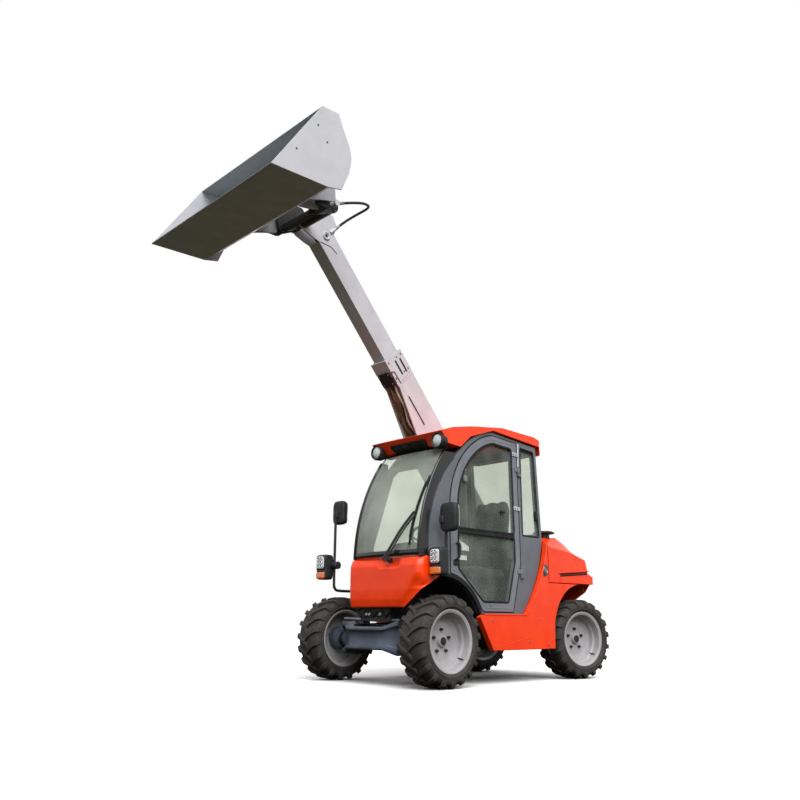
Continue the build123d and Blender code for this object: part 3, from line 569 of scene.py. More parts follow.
def make_wheels():
    """Tyres with tread and moulded rings, wheel nuts on studs, hub caps, valves and rim beads. They are
    made as a left wheel round the origin, and mirrored for the right."""
    rubber = [ringed(CARCASS + [(-x, r) for x, r in reversed(CARCASS)], CENTRE, LEFT, 76)] + tread()
    rubber += [ringed([(x - 0.0012, r - 0.0015), (x + 0.0016, r), (x - 0.0012, r + 0.0015)], CENTRE, LEFT, 72)
               for x, r in ((0.1368, 0.274), (0.1370, 0.279), (0.1200, 0.2440))]
    places = around(NUT_CIRCLE, 5, 0.008, pi / 2)
    nut = lathe([(0, 0.0135), (0.014, 0.0135), (0.017, 0.011)], CENTRE, LEFT, 6)
    stud = lathe([(0.016, 0.0065), (0.026, 0.0065), (0.028, 0.005)], CENTRE, LEFT, 12)
    cap = lathe([(0.036, 0.031), (0.041, 0.030), (0.042, 0.024), (0.039, 0.022), (0.039, 0.013),
                 (0.045, 0.011), (0.046, 0)], CENTRE, LEFT, 36)
    hub = [scatter(nut, places), scatter(stud, places), cap]
    valve = [pipe([(0.045, 0.150, -0.128), (0.075, 0.156, -0.133), (0.100, 0.158, -0.137)], 0.0045)]
    beads = [ringed([(x - 0.002, r), (x, r + 0.0035), (x + 0.002, r), (x, r - 0.001)], CENTRE, LEFT, 72)
             for x, r in ((0.056, 0.2045), (0.112, 0.2165))]
    for end in ("front", "rear"):
        turn = steered(end)
        for hand, way in HANDS.items():
            centre = kingpin(end, way) + turn @ np.array([way * (HUB_X - KINGPIN_X), 0, 0])
            tyre, cast, rubber_parts, painted = (moved(shapes, turn, centre, np.array([way, 1, 1]))
                                                 for shapes in (rubber, hub, valve, beads))
            wheel = f"{end}_{hand}"
            piece(f"{wheel}_treaded_tyre", f"{wheel}_wheel", [(TYRE, tyre)], f"{wheel}_tyre")
            piece(f"{wheel}_wheel_fittings", f"{wheel}_wheel",
                  [(CAST, cast), (SEAL, rubber_parts), (RIM, painted)])


def make_axle_fittings():
    """Weld seams and bolts along the axle beams; kingpin caps, drum covers and boots on the knuckles."""
    for end in ("front", "rear"):
        y = kingpin(end, 0)[1]
        line = np.linspace(-0.35, 0.35, 24)
        seams = [tube(np.stack([line, np.full(24, y + dy), np.full(24, HUB_HEIGHT + dz)], -1), 0.005, 8)
                 for dy in (-0.046, 0.046) for dz in (-0.066, 0.066)]
        places = [(x, y - 0.0705, HUB_HEIGHT + dz)
                  for x in (-0.30, -0.1, 0.1, 0.30) for dz in (-0.076, 0.076)]
        piece(f"{end}_axle_fittings", "chassis", [(AXLE, seams), (ZINC, bolts(places, AHEAD, 0.007))])
        for hand, way in HANDS.items():
            inner, inwards, outwards = way * 0.1045, (-way, 0, 0), (way, 0, 0)
            cover = [lathe([(0, 0.088), (0.006, 0.088), (0.010, 0.080), (0.010, 0.062), (0.016, 0.058)],
                           (inner, 0, 0), inwards, 40)]
            caps = [lathe([(0, 0.030), (0.006, 0.030), (0.010, 0.024)], (0, 0, dz), (0, 0, np.sign(dz)), 28)
                    for dz in (-0.1045, 0.1225)]
            heads = bolts(around(0.074, 8, inner - way * 0.009, 0.2), inwards, 0.006)
            boot = [lathe([(0, 0.052), (0.012, 0.060), (0.020, 0.052), (0.030, 0.058), (0.038, 0.050),
                           (0.046, 0.054), (0.050, 0)], (way * 0.045, 0, 0), outwards, 32)]
            layers = [(material, moved(shapes, steered(end), kingpin(end, way)))
                      for material, shapes in ((AXLE, cover + caps), (ZINC, heads), (SEAL, boot))]
            piece(f"{end}_{hand}_knuckle_fittings", f"{end}_{hand}_knuckle", layers)


# ---------------------------------------------------------------- cab

# Side views are (y, z) outlines.
SCREEN_ARC = ((-0.236, 1.000), (-0.1505, 1.460), (0.1106, 1.920))
SCREEN_X = (-0.129, 0.629)
SCREEN_BOW = 0.030
HINGES = (1.936, 1.446)    # heights, just below the door's hinge plates
POLE_X = -0.466            # of the right mirror's pole
HEAD_LAMPS = ((-0.548, -0.220), (0.736, -0.115))    # x, y
ROOF_LAMPS = ((-0.125, -0.012, 1.945), (0.620, -0.012, 1.945))
DOOR_LINE = run(arc((0.100, 0.8756), (0.344, 0.760), (0.470, 0.605), 12), [(0.495, 0.580), (0.880, 0.580)],
                [(1.000, 1.000), (0.985, 2.060), (0.650, 2.080)],
                arc((0.650, 2.080), (0.290, 1.880), (0.100, 1.400), 22)[1:])
UPPER_PANE = run([(0.190, 1.240), (0.925, 1.240), (0.915, 2.000), (0.660, 2.015)],
                 arc((0.660, 2.015), (0.360, 1.840), (0.190, 1.400), 16)[1:])
LOWER_PANE = [(0.190, 1.205), (0.190, 0.910), (0.490, 0.655), (0.820, 0.655), (0.925, 1.010), (0.925, 1.205)]
QUARTER_PANE = [(1.048, 1.238), (1.288, 1.238), (1.243, 2.018), (1.048, 2.032)]
RIGHT_PANE = [(-0.060, 1.060), (1.260, 1.060), (1.230, 2.010), (0.640, 2.040), (0.420, 1.960), (0.180, 1.740)]


def screen_y(x, z, count=60):
    """The windscreen's front face: its side view's arc, bowed forward towards the middle of its width."""
    line = arc(*SCREEN_ARC, count)
    span = 2 * (np.asarray(x) - SCREEN_X[0]) / (SCREEN_X[1] - SCREEN_X[0]) - 1
    return np.interp(z, line[:, 1], line[:, 0]) - SCREEN_BOW * (1 - span ** 2)


def make_windscreen():
    """Columns at even widths and rows along the arc, with the printed border as the outer cells."""
    columns, rows = 38, 44
    xs, zs = np.meshgrid(np.linspace(*SCREEN_X, columns + 1), arc(*SCREEN_ARC, rows + 1)[:, 1])
    verts, faces = grid(np.stack([xs, screen_y(xs, zs, rows + 1), zs], -1))
    row, column = np.divmod(np.arange(len(faces)), columns)
    rim = (row < 2) | (row > rows - 2) | (column < 1) | (column > columns - 2)
    glass, border = ([face for face, edge in zip(faces, rim) if edge == wanted] for wanted in (False, True))
    made = piece("bowed_windscreen", "chassis",
                 [(SCREEN, [(verts, glass)]), (GLOSS_BLACK, [(verts, border)])], "windscreen")
    cleaned(made.data, 1e-5)
    thick = made.modifiers.new("thickness", "SOLIDIFY")
    thick.thickness, thick.offset = 0.005, -1


def bead(line, x, radius, flat=0.5, closed=True):
    """A round-backed seal along a side view's line."""
    line = dense(line, 0.025, closed)
    return tube(side(line[:, 0], line[:, 1], np.full(len(line), x)), radius, 8, flat, closed)


def drawn_in(line, inset):
    """A closed line moved inwards at each corner."""
    return line + inset * inward(line)[0]


def make_cab_trim():
    """Seals round the openings, a strip over the wheel arch and one on the sill, the windscreen pillars'
    covers and rails, the quarter window's catch and the door post."""
    arch = [arc((0.010, 0.872 - rise), (0.346 - rise * 0.6, 0.740 - rise * 0.75),
                (0.470 - rise, 0.566 - rise * 0.1), 18) for rise in (0.0, 0.030)]
    trim = [plate(run(arch[0], arch[1][::-1]), side, CAB_LEFT - 0.02, CAB_LEFT + 0.007, 0.004),
            plate([(0.455, 0.562), (1.010, 0.562), (1.020, 0.540), (0.448, 0.540)], side, CAB_LEFT - 0.03,
                  CAB_LEFT + 0.004, 0.003)]
    seals = [bead(drawn_in(DOOR_LINE, -0.006), CAB_LEFT - 0.001, 0.008), bead(QUARTER_PANE, CAB_LEFT, 0.008),
             bead(RIGHT_PANE, CAB_RIGHT - 0.001, 0.009)]
    front_edge = arc((0.150, 1.800), (-0.105, 1.400), (-0.150, 1.000), 20)
    rails = [tube(side(front_edge[:, 0] - 0.004, front_edge[:, 1], np.full(20, x)), 0.013, 10, 1.4)
             for x in (0.640, -0.135)]
    covers = []
    z = np.linspace(0.99, 1.86, 40)
    for edge, outer in ((SCREEN_X[1], CAB_LEFT - 0.002), (SCREEN_X[0], CAB_RIGHT + 0.001)):
        screen = screen_y(edge, z)
        shell = np.maximum(np.interp(z, front_edge[::-1, 1], front_edge[::-1, 0]), screen)
        corners = ((edge, screen + 0.004), (edge * 0.6 + outer * 0.4, screen - 0.010), (outer, shell + 0.006),
                   (edge, screen + 0.030))
        cover = np.stack([np.stack([np.full(40, x), y, z], -1) for x, y in corners], 1)
        covers.append(grid(cover, True, cover[0, 0], cover[-1, 0]))
    knob = [pillow((CAB_LEFT - 0.004, 1.258, 1.432), (0.036, 0.030, 0.085), 5)]
    post = [tube([(0.652, 1.012, 1.830), (0.652, 1.018, 1.96), (0.652, 1.022, 2.065)], 0.018, 10, 0.6)]
    piece("cab_seals", "chassis", [(SEAL, trim + seals), (PLASTIC, rails + knob), (GLOSS_BLACK, covers),
                                   (LIGHT, post)])


def make_door_trim():
    """Pane seals, the bar between them, the frame's ridge and block, handle, latch, hinge plates and
    bolts."""
    x = CAB_LEFT + 0.003
    seals = [bead(UPPER_PANE, x, 0.009), bead(LOWER_PANE, x, 0.009),
             plate([(0.186, 1.207), (0.930, 1.207), (0.930, 1.238), (0.186, 1.238)], side, CAB_LEFT + 0.001,
                   CAB_LEFT + 0.0035, 0.001)]
    ridge = [bead(drawn_in(DOOR_LINE, 0.030), CAB_LEFT + 0.001, 0.006, 0.6),
             pillow((x, 0.286, 1.652), (0.026, 0.040, 0.058))]
    handle_path = smooth_path([(x, 0.170, 1.110), (x + 0.040, 0.165, 1.095), (x + 0.048, 0.155, 1.040),
                               (x + 0.040, 0.143, 0.985), (x, 0.138, 0.970)], 6)
    handle = [tube(handle_path, 0.010, 10), pillow((x + 0.004, 0.150, 0.955), (0.022, 0.050, 0.040)),
              pillow((x, 0.770, 1.423), (0.020, 0.062, 0.026)),
              tube([(x - 0.03, 0.770, 1.423), (x + 0.004, 0.77, 1.423)], 0.011)]
    plates, pins = [], []
    for z in HINGES:
        plates += [plate([(0.925, z + 0.004), (1.010, z + 0.004), (1.010, z + 0.034), (0.925, z + 0.040)],
                         side, x, x + 0.008)]
        pins += bolts([(x + 0.008, y, z + 0.021) for y in (0.940, 0.975)], LEFT, 0.0065)
    pins += bolts([(x, 0.582, 0.630)], LEFT, 0.007)
    piece("door_fittings", "door", [(SEAL, seals), (DOOR_GREY, ridge), (LIGHT, plates), (PLASTIC, handle),
                                    (ZINC, pins)])


def make_wiper():
    """An arm in two sections over the glass, a blade that follows the glass, and its pivot."""
    ends = [(0.316, 0.985), (0.370, 1.075), (0.470, 1.215), (0.575, 1.350)]
    arm = [(x, screen_y(x, max(z, 1.0)) - 0.045 - 0.02 * (z < 1.0), z - 0.02) for x, z in ends]
    twin = [(x + 0.024, y, z - 0.012) for x, y, z in arm]
    blade = [(x, screen_y(x, z) - 0.012, z)
             for x, z in zip(np.linspace(0.545, 0.614, 12), np.linspace(1.080, 1.640, 12))]
    spine = [(x, y - 0.016, z) for x, y, z in blade[1:-1]]
    pivot = lathe([(0, 0.022), (0.030, 0.020), (0.040, 0.014), (0.042, 0)], (0.316, -0.236, 0.968),
                  (0, -1, 0.1), 24)
    frames = [pipe(arm, 0.013, flat=0.6), pipe(twin, 0.008, flat=0.6),
              tube([arm[-1], spine[4]], 0.010, 10), pivot, tube(spine, 0.004, 8)]
    piece("wiper_blade", "chassis", [(PLASTIC, frames), (SEAL, [tube(blade, 0.007, 8, 1.6)])], "wiper")


def make_mirrors():
    """Bent pipes with deep rounded shells whose glass faces back."""
    low_pipe = [(-0.4245, 0.560, 0.724), (-0.445, 0.500, 0.733)]
    low_pipe += [(POLE_X, y, z) for y, z in ((0.400, 0.748), (0.10, 0.748), (-0.120, 0.748), (-0.170, 0.770),
                                             (-0.180, 0.830), (-0.180, 1.100), (-0.180, 1.400))]
    short_pipe = [(0.655, -0.045, 1.020), (0.700, -0.045, 1.020), (0.738, -0.042, 1.050),
                  (0.741, -0.040, 1.130), (0.741, -0.040, 1.300)]
    black = [pipe(line, 0.012, 14) for line in (low_pipe, short_pipe)]
    glasses = []
    # x, y and z of the shell, its width and height, and x and y of its clamp
    for x, y, z, width, height, clamp_x, clamp_y in (
            (-0.455, -0.128, 1.425, 0.150, 0.212, POLE_X, -0.165),
            (0.792, -0.042, 1.292, 0.172, 0.228, 0.741, -0.077)):
        black += [pillow((x, y - 0.012, z), (width, height, 0.062), 4.5, 16, 40, FACING),
                  pillow((clamp_x, clamp_y, z - 0.02), (0.044, 0.050, 0.062), 5)]
        glasses += [pillow((x, y + 0.019, z), (width - 0.022, height - 0.022, 0.008), 7, 6, 40, FACING)]
    piece("mirror_shells", "chassis", [(PLASTIC, black), (MIRROR, glasses)], "mirrors")


def make_lamps():
    """Deep rounded housings with cells under a clear lens, above an amber one; and round work lamps under
    the roof, each a pod round a bright bowl and a domed lens."""
    housings, clear, amber, rims, cells = [], [], [], [], []
    cell = [(0.0, 0.004), (0.0045, 0.0115), (0.0055, 0.0125), (0.0045, 0.0135), (0.0, 0.0135)]
    for x, y in HEAD_LAMPS:
        for layer, depth, z, size, power, rows, columns in (
                (housings, 0.000, 0.948, (0.128, 0.216, 0.098), 7, 16, 40),
                (rims, 0.044, 0.985, (0.116, 0.128, 0.018), 8, 8, 40),
                (clear, 0.050, 0.985, (0.098, 0.108, 0.020), 5, 8, 32),
                (amber, 0.046, 0.876, (0.110, 0.056, 0.024), 6, 8, 32)):
            layer.append(pillow((x, y - depth, z), size, power, rows, columns, FACING))
        cells += [lathe(cell, (x + across, y - 0.0595, 0.985 + up), AHEAD, 20)
                  for across in (-0.016, 0.016) for up in (-0.033, 0.0, 0.033)]
    clamps = [lathe([(0, 0.028), (0.004, 0.033), (0.092, 0.033), (0.098, 0.027)], (-0.508, -0.180, 0.962),
                    LEFT, 32),
              plate([(0.655, 0.950), (0.720, 0.950), (0.720, 0.982), (0.655, 0.982)], front, -0.078, -0.040,
                    0.003)]
    clamps += bolts([(POLE_X, -0.214, 0.962)], AHEAD, 0.006)
    piece("head_lamps", "chassis", [(PLASTIC, housings + clamps), (GLOSS_BLACK, rims), (LENS, clear),
                                    (AMBER, amber), (CHROME, cells)], "lamps")
    pod = [(-0.004, 0.053), (-0.010, 0.062), (0.006, 0.068), (0.056, 0.066), (0.091, 0.052), (0.091, 0.040),
           (0.006, 0.048)]
    bowl = [(0.052, 0.040), (0.030, 0.046), (0.010, 0.050), (0.006, 0.050), (0.022, 0.026), (0.030, 0)]
    dome = [(-0.012, 0), (-0.009, 0.026), (-0.002, 0.046), (0.004, 0.053), (0.008, 0)]
    piece("roof_lamps", "chassis", [(PLASTIC, [ringed(pod, place, BACK, 44) for place in ROOF_LAMPS]),
                                    (CHROME, [lathe(bowl, place, BACK, 32) for place in ROOF_LAMPS]),
                                    (LENS, [lathe(dome, place, BACK, 40) for place in ROOF_LAMPS])])


def make_steering_wheel():
    """A rim of elliptic section, three dished spokes and a hub cap, made flat and then tilted."""
    centre, radius = np.array([0.250, 0.262, 1.140]), 0.165
    tilt = np.array(Matrix.Rotation(radians(-50), 3, "X"))
    cosine, sine = circle(48)
    ring = np.stack([radius * cosine, radius * sine, np.zeros(48)], -1)
    shapes = [tube(ring, 0.0135, 12, 0.85, closed=True)]
    reach = np.linspace(0.018, 0.160, 8)
    dish = -0.012 * np.sin(pi * reach / radius)
    for a in np.arange(3) * 2 * pi / 3 + pi / 2:
        spoke = np.stack([reach * cos(a), reach * sin(a), dish], -1)
        shapes.append(tube(spoke, np.linspace(0.017, 0.010, 8), 10, 0.4))
    shapes.append(lathe([(-0.010, 0.030), (0.004, 0.036), (0.014, 0.030), (0.017, 0.014)], CENTRE, UP, 32))
    piece("ribbed_steering_wheel", "steering_wheel", [(PLASTIC, moved(shapes, tilt, centre))],
          "steering_wheel")


def cushion(name, outline, x, puff):
    """A side view's outline carried across the seat; its size and thickness fall to the sides as a
    superellipse does, and the facing swells between the seams."""
    across = np.linspace(-1, 1, 15)
    line = dense(outline, 0.02)
    middle = line.mean(0)
    share = (1 - np.abs(across) ** 8 * 0.9999) ** (1 / 8)
    centre, half = (x[0] + x[1]) / 2, (x[1] - x[0]) / 2
    swell = 1 + puff * np.cos(across * pi * 1.5) ** 2 * (np.abs(across) < 0.999)
    flat = middle + (line - middle)[None] * (share * (0.94 + 0.06 * swell))[:, None, None]
    places = np.broadcast_to((centre + half * across)[:, None], flat.shape[:2])
    points = side(flat[..., 0], flat[..., 1], places)
    shape = grid(points, True, points[0].mean(0), points[-1].mean(0))
    made = piece(name, "chassis", [(CLOTH, [shape])], sharp=radians(70))
    soft = made.modifiers.new("soft", "SUBSURF")
    soft.levels = soft.render_levels = 1
    return made


def make_seat():
    """A cushion and a back rest, with a folded gaiter below and an arm rest on a stay at each side."""
    seat = cushion("seat_cushion", [(0.605, 0.870), (0.640, 0.862), (1.000, 0.862), (1.050, 0.880),
                                    (1.045, 0.930), (0.960, 0.945), (0.800, 0.950), (0.680, 0.962),
                                    (0.615, 0.945)], (0.022, 0.478), 0.9)
    back = cushion("seat_back", [(0.998, 0.965), (1.085, 0.962), (1.120, 1.200), (1.176, 1.520),
                                 (1.160, 1.562), (1.115, 1.566), (1.066, 1.480), (1.040, 1.250),
                                 (1.012, 1.110)], (0.042, 0.458), 0.9)
    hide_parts("seat")
    bellows = [(z, 0.130 + 0.012 * (-1) ** k) for k, z in enumerate(np.linspace(0.782, 0.858, 9))]
    gaiter = lathe(bellows, (0.250, 0.850, 0), UP, 40)
    arms = [pillow((x, 0.900, 1.115), (0.055, 0.300, 0.045), 5) for x in (0.012, 0.488)]
    stays = [tube([(x, 1.045, 1.00), (x, 1.035, 1.110)], 0.012) for x in (0.020, 0.480)]
    piece("seat_base", "chassis", [(SEAL, [gaiter]), (PLASTIC, arms + stays)])


def sloped(a, b, c):
    """Places a pedal's face, a plane that rises towards the seat."""
    return np.stack([a, 0.02 + b * 0.5 + c, 0.60 + b * 0.9 - c * 0.5], -1)


def make_console():
    """Instrument binnacle, column shroud, joystick and pedals."""
    column_x, stick_foot = 0.250, (-0.045, 0.640, 0.955)
    binnacle = pillow((column_x, 0.020, 1.075), (0.300, 0.130, 0.110), 3.5, 14, 32)
    dial = lathe([(0, 0.034), (0.006, 0.034), (0.008, 0.030), (0.005, 0.028)], (column_x, 0.072, 1.098),
                 (0, 0.6, 0.8), 32)
    shroud = tube([(column_x, 0.03, 0.945), (column_x, 0.13, 1.03), (column_x, 0.215, 1.10)],
                  [0.052, 0.044, 0.034], 20)
    stick = pipe([stick_foot, (-0.045, 0.650, 1.010), (-0.042, 0.640, 1.070)], 0.008)
    knob = pillow((-0.042, 0.638, 1.095), (0.042, 0.050, 0.075), 2.6)
    boot = lathe([(0, 0.036), (0.012, 0.030), (0.018, 0.034), (0.030, 0.022), (0.036, 0.024), (0.046, 0.012)],
                 stick_foot, UP, 28)
    pedals = [plate([(x - 0.03, 0.02), (x + 0.03, 0.02), (x + 0.036, 0.09), (x - 0.036, 0.09)], sloped,
                    0, 0.010) for x in (0.03, 0.19)]
    piece("console_fittings", "chassis", [(PLASTIC, [binnacle, shroud, knob]), (SEAL, [boot] + pedals),
                                          (GLOSS_BLACK, [dial]), (CHROME, [stick])])


# ---------------------------------------------------------------- body panels

SKIRT_LEFT = 0.700
TANK_RIGHT = -0.700


def make_body_fittings():
    """The hood's louvre, cap, grip and lamps; the skirt's lock, creases and screws; the tank's cap, rib
    and screws."""
    x = SKIRT_LEFT
    slats = [plate([(1.545, z), (1.990, z + 0.034), (1.990, z + 0.039), (1.545, z + 0.005)], side, x - 0.012,
                   x - 0.003, 0.001) for z in (0.896, 0.909, 0.922)]
    back = [plate([(1.520, 0.893), (2.005, 0.929), (1.993, 0.962), (1.506, 0.928)], side,
                  x - 0.0155, x - 0.0115, 0.001)]
    lip = [bead(line, x + 0.001, 0.005, 0.7, closed=False)
           for line in ([(1.508, 0.930), (1.996, 0.966)], [(1.528, 0.889), (2.010, 0.926)])]
    cap_place = (0.560, 1.500, 1.262)
    stub = [lathe([(-0.020, 0.052), (0.030, 0.052), (0.034, 0.046)], cap_place, UP, 36)]
    lid = [lathe([(0.030, 0.092), (0.034, 0.100), (0.042, 0.100), (0.052, 0.080), (0.056, 0.030)], cap_place,
                 UP, 40)]
    grips = [pipe([(0.20, 2.081, 0.800), (0.20, 2.098, 0.792), (0.34, 2.098, 0.792), (0.34, 2.081, 0.800)],
                  0.007)]
    lights = [pillow((lamp_x, 2.074, 0.800), (0.075, 0.060, 0.024), 5, 8, 24, FACING)
              for lamp_x in (-0.06, 0.56)]
    piece("hood_fittings", "engine_hood", [(SEAL, back), (PLASTIC, slats + grips), (ORANGE, lip),
                                           (DARK, stub), (PLASTIC, lid), (AMBER, lights)])
    lock = [lathe([(0, 0.034), (0.004, 0.036), (0.006, 0.032), (0.002, 0.028), (0.002, 0.020),
                   (0.010, 0.018)], (x + 0.0045, 1.305, 0.945), LEFT, 36)]
    recess = [plate(arc((1.270, 0.890), (1.350, 0.945), (1.270, 1.000), 12), side, x + 0.0035, x + 0.0052,
                    0.0005)]
    screws = [(x + 0.0125, *place) for place in ((1.300, 0.300), (1.385, 0.440), (1.700, 0.815))]
    screws += [(x + 0.0055, *place)
               for place in ((0.585, 0.300), (0.560, 0.500), (1.040, 0.330), (1.200, 0.520))]
    crease = [bead([(0.700, 0.302), (1.060, 0.372)], x + 0.0045, 0.004, 0.6, closed=False)]
    sill_line = run([(0.456, 0.553), (1.012, 0.553)],
                    arc((1.012, 0.552), (1.160, 0.738), (1.345, 1.190), 16)[1:])
    sill = [bead(sill_line, x + 0.0035, 0.007, 0.8, closed=False)]
    piece("skirt_fittings", "chassis", [(GLOSS_BLACK, recess), (ZINC, lock), (ORANGE, sill + crease),
                                        (ZINC, bolts(screws, LEFT, 0.006))])
    cap = [lathe([(0, 0.040), (0.018, 0.040), (0.024, 0.034)], (-0.560, 1.700, 0.975), UP, 32)]
    rib_line = arc((1.395, 0.480), (1.560, 0.735), (1.840, 0.835), 18)
    ribs = [tube(side(*rib_line.T, np.full(18, TANK_RIGHT)), 0.010, 10, 0.8)]
    screws = [(TANK_RIGHT - 0.0005, *place)
              for place in ((0.620, 0.330), (0.600, 0.640), (1.330, 0.330), (1.200, 0.700))]
    piece("tank_fittings", "chassis", [(PLASTIC, cap), (ORANGE, ribs), (ZINC, bolts(screws, RIGHT, 0.007))])


# Levels of the nose: height, y of the face, x of the crease at its left end, and x and y of the far end
# of its side.
NOSE = np.array([
    (0.602, -0.241, 0.400, 0.472, -0.240), (0.612, -0.247, 0.415, 0.488, -0.240),
    (0.660, -0.258, 0.465, 0.554, -0.236), (0.700, -0.261, 0.500, 0.598, -0.228),
    (0.742, -0.263, 0.545, 0.645, -0.215), (0.785, -0.263, 0.575, 0.662, -0.140),
    (0.832, -0.263, 0.615, 0.662, -0.055), (0.862, -0.263, 0.630, 0.662, -0.012),
    (0.925, -0.262, 0.625, 0.662, -0.080), (0.970, -0.246, 0.615, 0.660, -0.130),
    (0.998, -0.214, 0.600, 0.650, -0.160),
])
NOSE_RIGHT = -0.165
NOSE_STATIONS = np.array([0, 0.05, 0.07, 0.70, 0.84, 1.0])    # shares of the way round a plan view


def make_nose():
    """Bent front panel. At each height the plan view runs forward along the right edge, across the face
    and back to the wheel arch, with its corners eased; a hollow round the wiper's pivot is pressed in."""
    rows, columns = 46, 96
    z = np.linspace(NOSE[0, 0], NOSE[-1, 0], rows)
    face, crease, end_x, end_y = (np.interp(z, NOSE[:, 0], column) for column in NOSE.T[1:])
    turn = eased(z, 0.70, 0.84)
    middle_x = (crease + end_x) / 2 * (1 - turn) + end_x * turn
    middle_y = (face + end_y) / 2 * (1 - turn) + (face + 0.045) * turn
    right = np.full(rows, NOSE_RIGHT)
    plan_x = np.stack([right, right, right + 0.012, crease, middle_x, end_x], -1)
    plan_y = np.stack([np.full(rows, -0.192), face + 0.012, face, face, middle_y, end_y], -1)
    at = np.linspace(0, 1, columns)
    weights = np.stack([np.interp(at, NOSE_STATIONS, row) for row in np.eye(len(NOSE_STATIONS))])
    x, y = plan_x @ weights, plan_y @ weights
    for _ in range(5):
        for line in (x, y):
            line[:, 1:-1] = (line[:, :-2] + 2 * line[:, 1:-1] + line[:, 2:]) / 4
    height = np.broadcast_to(z[:, None], x.shape)
    hollow = eased(x, 0.175, 0.240) * (1 - eased(x, 0.370, 0.455)) * eased(height, 0.905, 0.925)
    y = y + 0.030 * hollow * (y < -0.19)
    made = piece("bent_nose", "chassis", [(ORANGE, [grid(np.stack([x, y, height], -1))])], "front_panel",
                 radians(50))
    wall = made.modifiers.new("wall", "SOLIDIFY")
    wall.thickness, wall.offset = 0.006, 0


def make_front_beam():
    """Cast beam before the axle: its section is a web between two flanges, whose edges flare towards the
    ends; and the pipes, valve and hoses above it."""
    x = np.linspace(-0.335, 0.335, 60)
    flare = eased(np.abs(x), 0.20, 0.335)[:, None]
    top, low = 0.452 + 0.045 * flare, 0.272 - 0.040 * flare
    depth = np.array([-0.120, -0.232, -0.240, -0.240, -0.214, -0.208, -0.208, -0.214, -0.240, -0.240, -0.232,
                      -0.120])
    share = np.array([1.0, 1.0, 0.94, 0.86, 0.80, 0.74, 0.26, 0.20, 0.14, 0.06, 0.0, 0.0])
    z = low + (top - low) * share
    y = depth + 0.060 * flare
    beam = grid(np.stack([np.broadcast_to(x[:, None], z.shape), y, z], -1), True,
                (x[0], -0.13, 0.36), (x[-1], -0.13, 0.36))
    lip = 0.030
    yoke = [(-lip, 0.086), (lip, 0.086), (lip + 0.006, 0.096), (lip, 0.128), (-lip, 0.132),
            (-lip - 0.006, 0.1)]
    yokes = [ringed(yoke, (way * 0.352, 0.0, HUB_HEIGHT), LEFT, 44) for way in SIDES]
    rods = [pipe([(-0.34, -0.150, 0.515), (-0.10, -0.165, 0.508), (0.10, -0.165, 0.500),
                  (0.34, -0.150, 0.505)], 0.011, 12)]
    blocks = [pillow((0.02, -0.145, 0.545), (0.090, 0.070, 0.080), 7, 8, 28),
              pillow((0.17, -0.13, 0.530), (0.080, 0.060, 0.055), 7, 8, 28)]
    hoses = [pipe([(a, -0.14, 0.500), (a + 0.02, -0.185, 0.535), (b, -0.175, 0.570),
                   (b + 0.02, -0.12, 0.615)], 0.009)
             for a, b in ((-0.12, -0.16), (-0.06, -0.05), (0.04, 0.10), (0.10, 0.17), (0.19, 0.26))]
    nuts = [lathe([(0, 0.015), (0.030, 0.015), (0.034, 0.011)], (nut_x, -0.182, 0.545), (0, -1, 0.1), 6)
            for nut_x in (0.0, 0.035, 0.165)]
    piece("front_beam_casting", "chassis", [(AXLE, [beam] + yokes), (DARK, blocks), (SEAL, hoses),
                                            (ZINC, rods + nuts)])


def make_roof_grille():
    """Slanting louvres in the opening over the windscreen."""
    left, right = 0.456, 0.034
    bars = []
    for k in range(5):
        y, z = 0.002 + 0.032 * k, 1.977 - 0.013 * k
        bars.append(plate([(y, z), (y + 0.040, z - 0.030), (y + 0.044, z - 0.026), (y + 0.004, z + 0.004)],
                          side, right, left, 0.001))
    ribs = [plate([(0.002, 1.984), (0.010, 1.960), (0.165, 1.895), (0.190, 1.905), (0.285, 1.984)], side,
                  x, x + 0.005, 0.001) for x in (right, 0.140, 0.245, 0.350, left - 0.005)]
    piece("roof_grille", "chassis", [(PLASTIC, bars + ribs)])


# ---------------------------------------------------------------- boom and tool

BOOM_DOWN = (0, -sin(BOOM_ANGLE), -cos(BOOM_ANGLE))
# x and t of each hose below the boom, and its colour
BOOM_HOSES = {
    "green_hose": (-0.045, -0.205, srgb(92, 104, 52)), "brown_hose": (-0.015, -0.215, srgb(120, 92, 58)),
    "black_hose": (0.020, -0.198, srgb(34, 34, 36)), "pale_hose": (0.050, -0.212, srgb(176, 168, 150)),
}


def discs(s, t, x, radius, depth, bevel, ways=SIDES):
    """The ends of a pin through the boom, x out from its middle, with a bevelled rim."""
    profile = [(0, radius), (depth * 0.6, radius), (depth, radius * bevel)]
    return [lathe(profile, boom(s, t, way * x), (way, 0, 0), 36) for way in ways]


def on_end(a, b, c):
    """Places a plate square to the boom's length: a across it, b along t and c along s."""
    return boom(c, b, a)


def below(a, b, c):
    """Places a plate under the boom: a across it, b along s and c along t."""
    return boom(b, c, a)


def boom_line(line, x, step, radius, sides, flat=1.0):
    """A bead along a line of boom coordinates."""
    line = dense(line, step, False)
    return tube(boom(line[:, 0], line[:, 1], x), radius, sides, flat)


